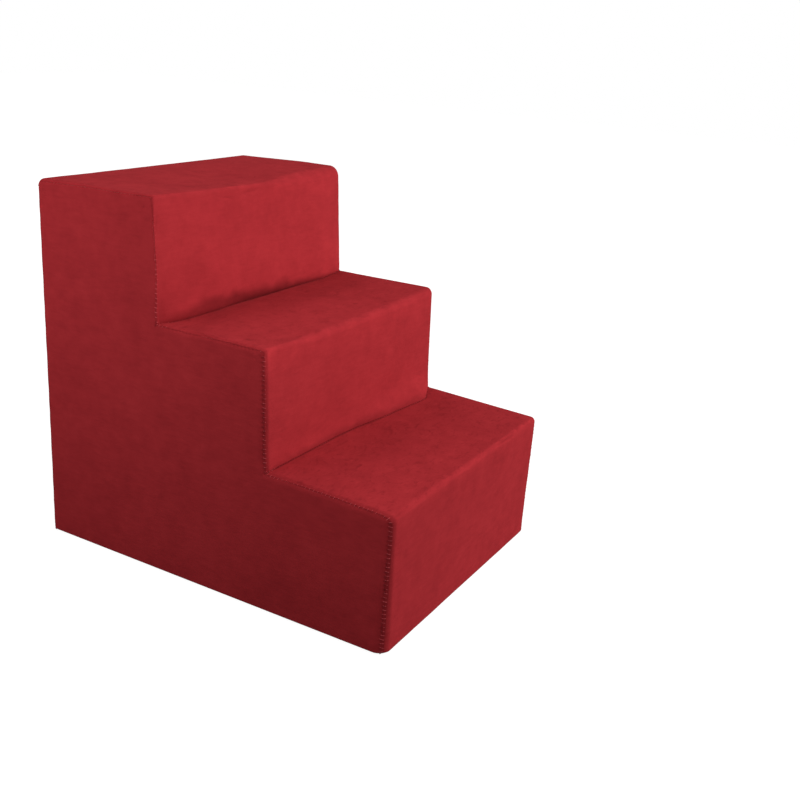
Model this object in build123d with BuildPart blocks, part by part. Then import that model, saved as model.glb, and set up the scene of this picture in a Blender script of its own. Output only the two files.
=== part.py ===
from build123d import *
import math
import os

os.makedirs("parts", exist_ok=True)

# Three-step foam pet stairs in a sewn, zipped cover.
# All lengths are in millimetres. +Z is up, the steps face -Y and climb towards +Y, and the
# origin lies on the floor under the middle of the base.

# Steps, over the cover
stair_width = 330.0
riser_bottom = 150.0
riser_middle = 125.0
riser_top = 125.0
tread_bottom = 147.0
tread_middle = 140.0
tread_top = 153.0

# Sewn cover
cover_thickness = 1.2
nosing_radius = 10.0
rear_top_radius = 8.0
edge_roll = 5.0

# Seam threads, as low beads on the cloth
thread_width = 1.0
thread_height = 0.4

# Non-slip base cloth and its moulded dots
base_thickness = 1.6
grip_height = 0.8
grip_radius = 2.5
grip_pitch = 24.0
grip_margin = 9.0

# Zip across the back
zip_height = 46.0
zip_side_gap = 0.7
zip_end_tab = 14.0
zip_topstitch = 2.5
tape_width = 13.0
tape_thickness = 0.5
chain_slit = 1.1
coil_width = 2.9
coil_thickness = 2.0
stop_length = 3.0
stop_rise = 0.5
running_gap = 0.35

# Zip slider
slider_length = 11.0
slider_plate = 1.0
slider_flange = 0.7
slider_neck_length = 2.4
slider_corner = 1.6
bail_post = 1.1
bail_bar = 1.0
bail_thickness = 1.6
bail_corner = 0.9
pin_play = 1.1

# Pull tab
pull_length = 26.0
pull_width = 7.0
pull_thickness = 1.0
pull_pin = 1.2
pull_window_side = 0.5
pull_eye_radius = 1.6
pull_eye_inset = 4.5
pull_end_radius = 3.0
pull_pin_corner = 0.4

# Sizes that follow
step_risers = (riser_bottom, riser_middle, riser_top)
step_treads = (tread_bottom, tread_middle, tread_top)
stair_height = sum(step_risers)
stair_length = sum(step_treads)
side_face = stair_width / 2
front_face = -stair_length / 2
back_face = stair_length / 2
back_inside = back_face - cover_thickness
cover_foot = grip_height
foam_foot = grip_height + base_thickness
lower_crease = (front_face + tread_bottom, riser_bottom)
upper_crease = (lower_crease[0] + tread_middle, riser_bottom + riser_middle)
flat_half_width = side_face - edge_roll
coil_face = back_inside + coil_thickness
slider_face = coil_face + running_gap + slider_plate
slider_inside = back_inside - tape_thickness - running_gap - slider_plate
slider_half = chain_slit / 2 + coil_width + running_gap + slider_flange
zip_opening = 2 * (slider_half + zip_side_gap)
chain_half = side_face - zip_end_tab - running_gap
slider_rest = -chain_half + stop_length + running_gap + slider_length / 2
slider_travel = 2 * -slider_rest
pin_clearance = math.hypot(pull_pin, pull_thickness) / 2 + running_gap
bail_opening = pull_pin + 2 * pin_play
bail_length = bail_opening + 2 * bail_post
bail_reach = math.hypot(bail_length / 2, pin_clearance + bail_bar)
pull_axis = slider_face + pin_clearance


def outline_points(inset, foot):
    """Corners of the stair's side view, drawn in by inset, from the front foot to the rear foot."""
    points = [(front_face + inset, foot)]
    reach = front_face
    rise = 0
    for riser, tread in zip(step_risers, step_treads):
        rise += riser
        points.append((reach + inset, rise - inset))
        reach += tread
        points.append((reach + inset, rise - inset))
    points[-1] = (back_face - inset, rise - inset)
    points.append((back_face - inset, foot))
    return points


def side_outline(plane, inset, foot, nosing, rear):
    """The stair's side view as a face, with its nosings and its rear top edge rounded."""
    points = outline_points(inset, foot)
    with BuildSketch(plane) as outline:
        with BuildLine():
            Polyline(*points, close=True)
        make_face()
        nosings = [outline.vertices().sort_by_distance(point)[0] for point in points[1:-2:2]]
        fillet(nosings, nosing)
        fillet(outline.vertices().sort_by_distance(points[-2])[0], rear)
    return outline.sketch


def stair_form(inset, foot, nosing, rear, roll):
    """The stair as a solid, drawn in by inset, with the long edges of both sides rolled over."""
    with BuildPart() as form:
        extrude(side_outline(Plane.YZ, inset, foot, nosing, rear), amount=side_face - inset, both=True)
        rims = form.faces().filter_by(Axis.X).edges().group_by(Axis.Z)[1:]
        fillet([edge for rim in rims for edge in rim], roll)
    return form.part


def crease_plane(crease):
    """The mitre plane through a crease, where a tread's cloth meets the next riser's."""
    return Plane(origin=(0, crease[0], crease[1]), x_dir=(1, 0, 0), z_dir=(0, 1, 1))


def step_panel(below, above):
    """One step's strip of cover, riser and tread in one, between two creases."""
    with BuildPart() as panel:
        add(wrap.part)
        if below:
            split(bisect_by=crease_plane(below), keep=Keep.TOP)
        if above:
            split(bisect_by=crease_plane(above), keep=Keep.BOTTOM)
    return panel


def side_panel(plane):
    """A stair-shaped side of the cover, as far as the line where the edges start to roll."""
    with BuildPart() as panel:
        extrude(
            side_outline(
                plane, edge_roll, cover_foot, nosing_radius - edge_roll, rear_top_radius - edge_roll
            ),
            amount=cover_thickness,
        )
    return panel


def side_thread(plane):
    """The thread that closes a side seam, as a bead along the edge of the side panel."""
    outside = edge_roll - thread_width / 2
    inside = edge_roll + thread_width / 2
    with BuildPart() as thread:
        extrude(
            side_outline(
                plane, outside, cover_foot, nosing_radius - outside, rear_top_radius - outside
            ),
            amount=thread_height,
        )
        extrude(
            side_outline(
                plane, inside, cover_foot - inside, nosing_radius - inside, rear_top_radius - inside
            ),
            amount=thread_height,
            mode=Mode.SUBTRACT,
        )
    return thread


def crease_thread(crease):
    """The thread in a crease, lying in the corner of tread and riser."""
    with BuildPart() as thread:
        with BuildSketch(Plane.YZ):
            with Locations(crease):
                Rectangle(thread_width, thread_width, align=(Align.MAX, Align.MIN))
        extrude(amount=flat_half_width, both=True)
    return thread


def back_thread(height):
    """A row of stitching across the back, centred at a height."""
    with BuildPart() as thread:
        with BuildSketch(Plane.YZ):
            with Locations((back_face, height)):
                Rectangle(thread_height, thread_width, align=(Align.MIN, Align.CENTER))
        extrude(amount=flat_half_width, both=True)
    return thread


def zip_strip(depth, near, far, half_length):
    """A strip along the zip: near to far off its centre line, and depth out from the cloth."""
    far_face = back_inside + depth
    with BuildPart() as strip:
        with BuildSketch(Plane.YZ):
            with BuildLine():
                Polyline(
                    (back_inside, zip_height + near),
                    (far_face, zip_height + near),
                    (far_face, zip_height + far),
                    (back_inside, zip_height + far),
                    close=True,
                )
            make_face()
        extrude(amount=half_length, both=True)
    return strip


def save(piece, name):
    """Label a finished piece and write it."""
    piece.part.label = name
    export_step(piece.part, f"parts/{name}.step")


# Foam core: three slabs, glued one on another
foam_form = stair_form(cover_thickness, foam_foot, nosing_radius, rear_top_radius, edge_roll)
foam_lower_joint = riser_bottom - cover_thickness
foam_upper_joint = riser_bottom + riser_middle - cover_thickness
foam_recess_depth = back_inside - slider_inside + running_gap
foam_recess_height = 2 * tape_width + chain_slit + 2 * running_gap

with BuildPart() as foam_bottom_slab:
    add(foam_form)
    split(bisect_by=Plane.XY.offset(foam_lower_joint), keep=Keep.BOTTOM)
    with BuildSketch(Plane.YZ):
        with Locations((back_inside, zip_height)):
            Rectangle(foam_recess_depth, foam_recess_height, align=(Align.MAX, Align.CENTER))
    extrude(amount=side_face, both=True, mode=Mode.SUBTRACT)
save(foam_bottom_slab, "foam_bottom_slab")

with BuildPart() as foam_middle_slab:
    add(foam_form)
    split(bisect_by=Plane.XY.offset(foam_lower_joint), keep=Keep.TOP)
    split(bisect_by=Plane.XY.offset(foam_upper_joint), keep=Keep.BOTTOM)
save(foam_middle_slab, "foam_middle_slab")

with BuildPart() as foam_top_slab:
    add(foam_form)
    split(bisect_by=Plane.XY.offset(foam_upper_joint), keep=Keep.TOP)
save(foam_top_slab, "foam_top_slab")

# Cover sides
left_side_panel = side_panel(Plane.YZ.offset(-side_face))
save(left_side_panel, "left_side_panel")
right_side_panel = side_panel(Plane.YZ.offset(side_face - cover_thickness))
save(right_side_panel, "right_side_panel")

# The wrap is the rest of the cover's shell: it goes up the steps, over the top and down the
# back, and rolls over the edges to the side panels.
with BuildPart() as shell:
    add(stair_form(0, cover_foot, nosing_radius, rear_top_radius, edge_roll))
    add(
        stair_form(
            cover_thickness,
            -cover_thickness,
            nosing_radius - cover_thickness,
            rear_top_radius - cover_thickness,
            edge_roll - cover_thickness,
        ),
        mode=Mode.SUBTRACT,
    )
    add(left_side_panel.part, mode=Mode.SUBTRACT)
    add(right_side_panel.part, mode=Mode.SUBTRACT)

with BuildPart() as back_zone:
    with BuildSketch(Plane.YZ):
        with Locations((back_face, 0)):
            Rectangle(
                edge_roll, stair_height - rear_top_radius, align=(Align.MAX, Align.MIN)
            )
    extrude(amount=side_face, both=True)

with BuildPart() as wrap:
    add(shell.part)
    add(back_zone.part, mode=Mode.SUBTRACT)

bottom_step_panel = step_panel(None, lower_crease)
save(bottom_step_panel, "bottom_step_panel")
middle_step_panel = step_panel(lower_crease, upper_crease)
save(middle_step_panel, "middle_step_panel")
top_step_panel = step_panel(upper_crease, None)
save(top_step_panel, "top_step_panel")

# Back of the cover, above and below the zip, and the cloth tabs that close the zip's ends
with BuildPart() as back_upper_panel:
    add(shell.part)
    add(back_zone.part, mode=Mode.INTERSECT)
    split(bisect_by=Plane.XY.offset(zip_height + zip_opening / 2), keep=Keep.TOP)
save(back_upper_panel, "back_upper_panel")

with BuildPart() as back_lower_panel:
    add(shell.part)
    add(back_zone.part, mode=Mode.INTERSECT)
    split(bisect_by=Plane.XY.offset(zip_height - zip_opening / 2), keep=Keep.BOTTOM)
save(back_lower_panel, "back_lower_panel")

with BuildPart() as zip_end_tabs:
    add(shell.part)
    add(back_zone.part, mode=Mode.INTERSECT)
    split(bisect_by=Plane.XY.offset(zip_height - zip_opening / 2), keep=Keep.TOP)
    split(bisect_by=Plane.XY.offset(zip_height + zip_opening / 2), keep=Keep.BOTTOM)
    with BuildSketch(Plane.XY):
        with Locations((0, back_face)):
            Rectangle(2 * (side_face - zip_end_tab), 2 * edge_roll)
    extrude(amount=stair_height, mode=Mode.SUBTRACT)
save(zip_end_tabs, "zip_end_tabs")

# Non-slip base cloth, with a square pattern of moulded dots that has one at its middle
base_width = stair_width - 2 * cover_thickness
base_length = stair_length - 2 * cover_thickness
grips_across = 2 * math.floor((base_width / 2 - grip_margin) / grip_pitch) + 1
grips_along = 2 * math.floor((base_length / 2 - grip_margin) / grip_pitch) + 1

with BuildPart() as non_slip_base:
    with BuildSketch(Plane.XY.offset(grip_height)):
        RectangleRounded(base_width, base_length, edge_roll)
    extrude(amount=base_thickness)
    with BuildSketch(Plane.XY):
        with GridLocations(grip_pitch, grip_pitch, grips_across, grips_along):
            Circle(grip_radius)
    extrude(amount=grip_height)
save(non_slip_base, "non_slip_base")

# Seam threads
left_side_thread = side_thread(Plane.YZ.offset(-side_face - thread_height))
save(left_side_thread, "left_side_thread")
right_side_thread = side_thread(Plane.YZ.offset(side_face))
save(right_side_thread, "right_side_thread")
lower_crease_thread = crease_thread(lower_crease)
save(lower_crease_thread, "lower_crease_thread")
upper_crease_thread = crease_thread(upper_crease)
save(upper_crease_thread, "upper_crease_thread")
rear_top_thread = back_thread(stair_height - rear_top_radius)
save(rear_top_thread, "rear_top_thread")
zip_upper_thread = back_thread(zip_height + zip_opening / 2 + zip_topstitch)
save(zip_upper_thread, "zip_upper_thread")
zip_lower_thread = back_thread(zip_height - zip_opening / 2 - zip_topstitch)
save(zip_lower_thread, "zip_lower_thread")

with BuildPart() as base_thread:
    with BuildSketch(Plane.XY.offset(cover_foot - thread_height)):
        RectangleRounded(base_width, base_length, edge_roll)
        RectangleRounded(
            base_width - 2 * thread_width,
            base_length - 2 * thread_width,
            edge_roll - thread_width,
            mode=Mode.SUBTRACT,
        )
    extrude(amount=thread_height)
save(base_thread, "base_thread")

# Zip tapes, and the two rows of coil that stand on them
tape_near = chain_slit / 2
tape_far = chain_slit / 2 + tape_width
coil_far = chain_slit / 2 + coil_width
coil_half = chain_half - stop_length

zip_upper_tape = zip_strip(-tape_thickness, tape_near, tape_far, flat_half_width)
save(zip_upper_tape, "zip_upper_tape")
zip_lower_tape = zip_strip(-tape_thickness, -tape_near, -tape_far, flat_half_width)
save(zip_lower_tape, "zip_lower_tape")
zip_upper_coil = zip_strip(coil_thickness, tape_near, coil_far, coil_half)
save(zip_upper_coil, "zip_upper_coil")
zip_lower_coil = zip_strip(coil_thickness, -tape_near, -coil_far, coil_half)
save(zip_lower_coil, "zip_lower_coil")

# Stops at the ends of the chain: one on each row at the closed end, one across both at the other
stop_middle = chain_half - stop_length / 2
with BuildPart() as zip_top_stops:
    with BuildSketch(Plane.YZ.offset(-stop_middle)):
        with Locations(
            (back_inside, zip_height + tape_near),
            (back_inside, zip_height - coil_far),
        ):
            Rectangle(coil_thickness + stop_rise, coil_width, align=(Align.MIN, Align.MIN))
    extrude(amount=stop_length / 2, both=True)
save(zip_top_stops, "zip_top_stops")

with BuildPart() as zip_bottom_stop:
    with BuildSketch(Plane.YZ.offset(stop_middle)):
        with Locations((back_inside, zip_height)):
            Rectangle(coil_thickness + stop_rise, 2 * coil_far, align=(Align.MIN, Align.CENTER))
    extrude(amount=stop_length / 2, both=True)
save(zip_bottom_stop, "zip_bottom_stop")

# Slider: two plates joined by a neck in the chain's slit, flanges over the coil, and a bail
slider_end = slider_rest - slider_length / 2
with BuildPart() as zip_slider:
    with BuildSketch(Plane.XZ.offset(-slider_inside)):
        with Locations((slider_rest, zip_height)):
            RectangleRounded(slider_length, 2 * slider_half, slider_corner)
    extrude(amount=-slider_plate)
    with BuildSketch(Plane.XZ.offset(-slider_face)):
        with Locations((slider_rest, zip_height)):
            RectangleRounded(slider_length, 2 * slider_half, slider_corner)
    extrude(amount=slider_plate)
    with BuildSketch(Plane.XZ.offset(-slider_inside)):
        with Locations((slider_end, zip_height)):
            Rectangle(
                slider_neck_length, chain_slit - 2 * running_gap, align=(Align.MIN, Align.CENTER)
            )
    extrude(amount=-(slider_face - slider_inside))
    with BuildSketch(Plane.XZ.offset(-slider_face)):
        with Locations((slider_rest, zip_height)):
            with GridLocations(0, 2 * slider_half - slider_flange, 1, 2):
                Rectangle(slider_length - 2 * slider_corner, slider_flange)
    extrude(amount=slider_face - back_inside - running_gap)
    with BuildSketch(Plane.XY.offset(zip_height)):
        with Locations((slider_rest, slider_face)):
            Rectangle(
                bail_length,
                2 * pin_clearance + bail_bar,
                align=(Align.CENTER, Align.MIN),
            )
            Rectangle(
                bail_opening, 2 * pin_clearance, align=(Align.CENTER, Align.MIN), mode=Mode.SUBTRACT
            )
    extrude(amount=bail_thickness / 2, both=True)
    fillet(zip_slider.edges().filter_by(Axis.Z).group_by(Axis.Y)[-1], bail_corner)
save(zip_slider, "zip_slider")

# Pull tab, lying flat along the closed chain, with its pin through the bail
pull_reach = pull_length - pull_pin / 2
pull_window_length = bail_reach + 2 * running_gap - pull_pin / 2
with BuildPart() as zip_pull:
    with BuildSketch(Plane.XZ.offset(-(pull_axis - pull_thickness / 2))) as tab:
        with Locations((slider_rest - pull_pin / 2, zip_height)):
            Rectangle(pull_length, pull_width, align=(Align.MIN, Align.CENTER))
        fillet(tab.vertices().group_by(Axis.X)[-1], pull_end_radius)
        fillet(tab.vertices().group_by(Axis.X)[0], pull_pin_corner)
        with Locations((slider_rest + pull_pin / 2, zip_height)):
            Rectangle(
                pull_window_length,
                bail_thickness + 2 * pull_window_side,
                align=(Align.MIN, Align.CENTER),
                mode=Mode.SUBTRACT,
            )
        with Locations((slider_rest + pull_reach - pull_eye_inset, zip_height)):
            Circle(pull_eye_radius, mode=Mode.SUBTRACT)
    extrude(amount=-pull_thickness)
save(zip_pull, "zip_pull")

print(f"slider rests at x {slider_rest:.2f} and travels {slider_travel:.2f}")
print(f"pull turns about x {slider_rest:.2f}, y {pull_axis:.2f}")
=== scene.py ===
import math

import bmesh
import bpy
import numpy as np
from mathutils import Matrix, Vector
from mathutils.geometry import delaunay_2d_cdt
from mathutils.kdtree import KDTree


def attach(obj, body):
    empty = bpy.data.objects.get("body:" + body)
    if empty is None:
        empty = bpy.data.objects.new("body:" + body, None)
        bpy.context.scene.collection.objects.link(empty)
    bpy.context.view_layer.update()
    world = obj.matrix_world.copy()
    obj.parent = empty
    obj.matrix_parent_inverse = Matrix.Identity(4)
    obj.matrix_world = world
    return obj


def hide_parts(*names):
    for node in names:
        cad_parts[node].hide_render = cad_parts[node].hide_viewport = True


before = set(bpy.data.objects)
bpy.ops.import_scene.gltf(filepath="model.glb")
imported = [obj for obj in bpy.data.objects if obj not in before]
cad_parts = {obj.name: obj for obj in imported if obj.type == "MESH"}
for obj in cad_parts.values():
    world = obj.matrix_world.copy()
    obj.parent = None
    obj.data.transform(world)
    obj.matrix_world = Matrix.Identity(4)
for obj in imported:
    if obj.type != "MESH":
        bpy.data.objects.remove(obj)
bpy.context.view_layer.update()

# Foam pet stairs in a sewn microsuede cover. Sizes are in millimetres until a mesh is made.
MM = 0.001
SIDE = 165.0
FRONT = -220.0
BACK = 220.0
FOOT = 0.8
CLOTH = 0.8
FOAM_GAP = 2.2
LOW_STEP = (-73.0, 150.0)
HIGH_STEP = (67.0, 275.0)
TOP = 400.0

# Roundings of the stuffed cover, from the photograph
LOW_NOSING = 5.8
MIDDLE_NOSING = 8.3
TOP_NOSING = 12.0
REAR_TOP = 7.5
EDGE_ROLL = 2.2
LIP = 0.6
LIP_DEPTH = 1.3
SEAM_INSET = 3.0
SEAM_GAP = 0.12
SEAM_LINE = SEAM_INSET + SEAM_GAP / 2
CREASE_LIP = 0.8
CREASE_DEPTH = 2.6
CREASE_SLIT = 0.25
HEM = 0.9
HEM_TURN = 1.0
FOOT_TURN = 1.05
REAR_SEAM = 391.85

# Distances from stitch to stitch
SEAM_PITCH = 4.7
CREASE_PITCH = 4.2
ZIP_SEAM_PITCH = 3.3
BASE_SEAM_PITCH = 4.0

# Zip
ZIP_HEIGHT = 46.0
ZIP_OPENING = 10.4
ZIP_TAB = 151.0
ZIP_TAB_LAP = 0.15
ZIP_SEAM = 7.7
TAPE_HALF = 160.0
TAPE_NEAR = 0.55
TAPE_FAR = 13.55
TAPE_FACE = 218.8
TAPE_THICKNESS = 0.5
COIL_HALF = 147.6
COIL_PITCH = 1.5
COIL_FACE = 219.78
COIL_MIDDLE = 1.92


def smooth(low, high, value):
    """A smooth rise from 0 at low to 1 at high."""
    t = np.clip((np.asarray(value, float) - low) / (high - low), 0, 1)
    return t * t * (3 - 2 * t)


def ruffle(points, size, seed):
    """Smooth random values from -1 to 1, in swells of about size."""
    table = np.random.RandomState(seed).uniform(-1, 1, (24, 24, 24))
    cell = np.asarray(points, float) / size
    low = np.floor(cell).astype(int)
    part = cell - low
    part = part * part * (3 - 2 * part)
    total = np.zeros(len(cell))
    for corner in np.ndindex(2, 2, 2):
        at = (low + corner) % 24
        share = np.prod(np.where(np.array(corner) == 1, part, 1 - part), axis=1)
        total += share * table[at[:, 0], at[:, 1], at[:, 2]]
    return total


def unit(vectors):
    """Vectors of length one."""
    return vectors / np.maximum(np.linalg.norm(vectors, axis=-1, keepdims=True), 1e-9)


# How the stuffed cover has settled: each corner of the side view moves by (y, z), and what lies
# between follows.
SETTLE_Y = np.array([FRONT, LOW_STEP[0], HIGH_STEP[0], BACK])
SETTLE_Z = np.array([FOOT, LOW_STEP[1], HIGH_STEP[1], TOP])
LOW_NOSING_MOVE = (-0.6, -2.1)
LOW_CREASE_MOVE = (-3.5, 2.4)
MIDDLE_NOSING_MOVE = (0.8, 1.3)
HIGH_CREASE_MOVE = (-6.2, -0.7)
TOP_NOSING_MOVE = (1.5, 2.4)
REAR_TOP_MOVE = (-1.5, -3.0)
SETTLE_MOVES = np.array([
    [(0, 0), LOW_NOSING_MOVE, LOW_NOSING_MOVE, LOW_NOSING_MOVE],
    [(0, 0), LOW_CREASE_MOVE, MIDDLE_NOSING_MOVE, MIDDLE_NOSING_MOVE],
    [(0, 0), (-2.0, 0.4), HIGH_CREASE_MOVE, TOP_NOSING_MOVE],
    [(0, 0), (-0.6, -1.1), (-1.0, -2.1), REAR_TOP_MOVE],
], float)


# Nosings that are drawn sharper over part of the width: middle of the rounding, its radius, and the
# radius wanted by x
NOSINGS = (
    ((HIGH_STEP[0] + TOP_NOSING, TOP - TOP_NOSING), TOP_NOSING,
     ((-165, 2.6), (20, 3.6), (62, 12.0), (165, 12.0))),
    ((LOW_STEP[0] + MIDDLE_NOSING, HIGH_STEP[1] - MIDDLE_NOSING), MIDDLE_NOSING,
     ((-165, 2.8), (-118, 3.4), (-80, 8.3), (165, 8.3))),
)


def sharpen(x, y, z):
    """Moves that draw a nosing out to the radius wanted at x."""
    move = np.zeros((len(x), 2))
    for (middle_y, middle_z), radius, table in NOSINGS:
        front, up = middle_y - y, z - middle_z
        inside = (front > 0) & (up > 0) & (np.maximum(front, up) < radius + 4)
        wanted = along_crease(x, table)
        angle = np.arctan2(np.minimum(front, up), np.maximum(front, up))
        lean = (radius - wanted) * (np.cos(angle) + np.sin(angle))
        arc = lean + np.sqrt(np.maximum(wanted ** 2 - 2 * (radius - wanted) ** 2 + lean ** 2, 0))
        flat = radius * np.tan(angle) <= radius - wanted
        longer = np.where(flat, 1 / np.cos(angle), arc / radius) - 1
        longer = np.where(inside, longer, 0)
        move += np.column_stack([-front * longer, up * longer])
    return move


# How far the front of the top and of the middle tread droop, by x: middle of the nosing, how far
# back and down the droop reaches, and its table
DROOPS = (
    (HIGH_STEP[0], TOP, 125, 75,
     ((-165, 1.7), (-100, 4.4), (-40, 5.9), (20, 7.2), (62, 4.6), (110, 2.0), (165, 0))),
    (LOW_STEP[0], HIGH_STEP[1], 80, 50,
     ((-165, 0.4), (-100, 3.4), (60, 3.8), (120, 2.6), (165, 0))),
)


# What happens at each crease, by x. The riser's foot comes out over the tread (out), over a height
# (reach, by x), and turns under by a little (under). The tread dips there (dip). Painted shade
# darkens the riser over the crease, where its roll shades it (nap), by (x, height, share, how far
# up it stays dark).
CREASES = (
    {
        "at": HIGH_STEP, "under": 2.0, "turn": 13.0, "dip": 1.5,
        "reach": ((-165, 20), (-135, 26), (-95, 50), (165, 50)),
        "out": ((-165, 0), (-154, 5.2), (-142, 9.4), (-130, 11.4), (-118, 11.8), (-82, 12.1),
                (-58, 10.1), (-34, 10.1), (19, 11.3), (72, 10.6), (112, 12.2), (150, 5.4),
                (165, 0)),
        "nap": ((-165, 3, 0, 0), (-148, 9, 0.3, 0.2), (-130, 17, 0.5, 0.2), (-104, 19, 0.6, 0.4),
                (-72, 19, 0.65, 0.5), (-30, 18, 0.95, 0.1), (20, 16, 1, 0), (72, 10.5, 0.8, 0),
                (112, 8, 0.55, 0), (150, 4, 0.25, 0), (165, 3, 0, 0)),
    },
    {
        "at": LOW_STEP, "under": 0.8, "turn": 8.0, "dip": 1.0,
        "reach": ((-165, 15), (165, 15)),
        "out": ((-165, 1.0), (-45, 1.6), (-8, 3.6), (9, 6.0), (27, 9.3), (45, 12.0), (66, 13.4),
                (85, 15.8), (104, 18.2), (122, 20.2), (133, 15.8), (145, 9.8), (155, 4.8),
                (165, 0)),
        "nap": ((-165, 3, 0, 0), (-150, 8, 0.35, 0), (-60, 9, 0.45, 0), (104, 9, 0.45, 0),
                (135, 5, 0.3, 0), (165, 3, 0, 0)),
    },
)


# Further moves of the settled cover, in mm
FOOT_LIFT = 0.6
TOP_LEAN = 4.5
LOW_CORNER_BACK, LOW_CORNER_DOWN = 2.4, 2.0
FAR_CORNER_DROOP = 1.6
SWELL_SIZE, SWELL_HEIGHT = 85.0, 0.3

# Side edges: how far from a side the stuffing rounds them, over what distance the cloth that is
# drawn over gives way, and the right edge's shares of the left edge's rounding and drawing
EDGE_REACH = 16
DRAWN_REACH = 14
RIGHT_ROUNDING = 0.45
RIGHT_DRAWING = 0.3


def along_crease(x, table):
    """A value at x from a table of (x, mm), with its corners smoothed."""
    at = np.linspace(-SIDE - 20, SIDE + 20, 371)
    values = np.interp(at, *np.array(table, float).T)
    soft = np.exp(-(np.arange(-12, 13) / 5.0) ** 2)
    values = np.convolve(np.pad(values, 12, mode="edge"), soft / soft.sum(), mode="valid")
    return np.interp(x, at, values)


def settle(points, cover=1.0):
    """Moves points from the shape as cut to the shape as stuffed. cover is 0 for the foam inside,
    which isn't drawn over the edges as the cloth is."""
    cut = np.array(points, float).reshape(-1, 3)
    p = cut.copy()

    # x, y and z look into p, so each step goes by where the steps before it have moved the points
    x, y, z = p.T
    column = np.clip(np.searchsorted(SETTLE_Y, y) - 1, 0, 2)
    row = np.clip(np.searchsorted(SETTLE_Z, z) - 1, 0, 2)
    across = np.clip((y - SETTLE_Y[column]) / (SETTLE_Y[column + 1] - SETTLE_Y[column]), 0, 1)
    up = np.clip((z - SETTLE_Z[row]) / (SETTLE_Z[row + 1] - SETTLE_Z[row]), 0, 1)
    move = np.zeros((len(p), 2))
    for i, share_y in ((0, 1 - across), (1, across)):
        for j, share_z in ((0, 1 - up), (1, up)):
            move += (share_y * share_z)[:, None] * SETTLE_MOVES[column + i, row + j]
    p[:, 1:] += move + sharpen(x, y, z)

    # At each crease the riser's foot comes out over the tread and turns under
    for crease in CREASES:
        crease_y, crease_z = crease["at"]
        above = np.maximum(z - crease_z, 0)
        out = along_crease(x, crease["out"])
        full = np.minimum(out / 6, 1)
        under = np.sqrt(1 - (1 - np.clip(above / crease["turn"], 0, 1)) ** 2)
        moved = out * np.exp(-(above / along_crease(x, crease["reach"])) ** 2)
        moved -= crease["under"] * full * (1 - under)
        near = smooth(crease_y - 40, crease_y, y) * (1 - smooth(crease_y + 30, crease_y + 110, y))
        p[:, 1] -= moved * near * smooth(crease_z - 40, crease_z - 2, z)
        dip = full * (1 - smooth(0, 9, above)) * smooth(crease_y - 18, crease_y, y)
        dip = dip * (1 - smooth(crease_y + 30, crease_y + 110, y))
        p[:, 2] -= crease["dip"] * dip * smooth(crease_z - 70, crease_z - 5, z)

    # The lower front corners lift off the floor a little
    for side in (-1, 1):
        near = np.exp(-((SIDE - side * x) / 9) ** 2 - ((y - FRONT) / 9) ** 2)
        p[:, 2] += FOOT_LIFT * near * (1 - smooth(0, 16, z))

    # The left end of the top nosing leans forwards
    lean = (1 - smooth(-SIDE, 40, x)) * smooth(HIGH_STEP[1], 330, z)
    p[:, 1] -= TOP_LEAN * lean * smooth(HIGH_STEP[0] - 30, HIGH_STEP[0], y) * (
        1 - smooth(HIGH_STEP[0] + 20, BACK, y))

    # The left end of the low nosing is rounder
    corner = np.exp(-((SIDE + x) / 16) ** 2 - ((y - FRONT) / 8) ** 2 - ((z - LOW_STEP[1]) / 8) ** 2)
    p[:, 1] += LOW_CORNER_BACK * corner
    p[:, 2] -= LOW_CORNER_DOWN * corner

    # The treads droop towards their nosings, the top also a little before its far corner
    for front, level, back_by, down_by, table in DROOPS:
        droop = 1 - smooth(0, back_by, y - front)
        p[:, 2] -= along_crease(x, table) * droop * smooth(level - down_by, level - 2, z) * (
            1 - smooth(level + 3, level + 20, z))
    droop = smooth(60, SIDE, x) * smooth(130, HIGH_STEP[0], y) * smooth(300, TOP, z)
    p[:, 2] -= FAR_CORNER_DROOP * droop

    # Broad swells, as foam under cloth has
    swell = np.stack([ruffle(cut, SWELL_SIZE, seed) for seed in (3, 4, 5)], axis=1)
    keep = smooth(0, 30, z)[:, None]
    return p + SWELL_HEIGHT * swell * keep + edge_rounding(cut, cover)


def edge_rounding(cut, cover):
    """How the stuffing rounds the side edges off: points near an edge move in diagonally."""
    move = np.zeros(cut.shape)
    close = np.flatnonzero(SIDE - np.abs(cut[:, 0]) < EDGE_REACH)
    x = cut[close, 0]
    inside, along, inward = seam_frame(cut[close, 1:])
    radius = seam_state(along, 3) * np.where(x > 0, RIGHT_ROUNDING, 1.0)
    cut_depth = np.maximum(SIDE - np.abs(x), 0)
    cut_inset = np.maximum(SEAM_LINE + inside, 0)

    # The cloth is drawn over the edge first, so that the seam comes up to it
    drawn = cover * seam_state(along, 4) * np.where(x > 0, RIGHT_DRAWING, 1.0)
    left_over = drawn * (1 - smooth(0, DRAWN_REACH, cut_depth)) - cut_inset
    inset = np.maximum(cut_inset - drawn * (1 - smooth(3.2, DRAWN_REACH, cut_inset)), 0)
    depth = cut_depth + np.maximum(left_over, 0)
    push = 0.29 * radius * np.clip(1 - np.hypot(depth, inset) / radius, 0, 1) ** 1.35
    move[close, 0] = -np.sign(x) * (push + depth - cut_depth)
    move[close, 1:] = inward * (push + inset - cut_inset)[:, None]
    return move


def corner_arc(before, at, after, radius):
    """Start, centre and turn of the arc that rounds a corner."""
    into, out = unit(at - before), unit(after - at)
    turn = math.atan2(into[0] * out[1] - into[1] * out[0], float(into @ out))
    start = at - into * radius * math.tan(abs(turn) / 2)
    centre = start + math.copysign(radius, turn) * np.array([-into[1], into[0]])
    return start, centre, turn


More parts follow.
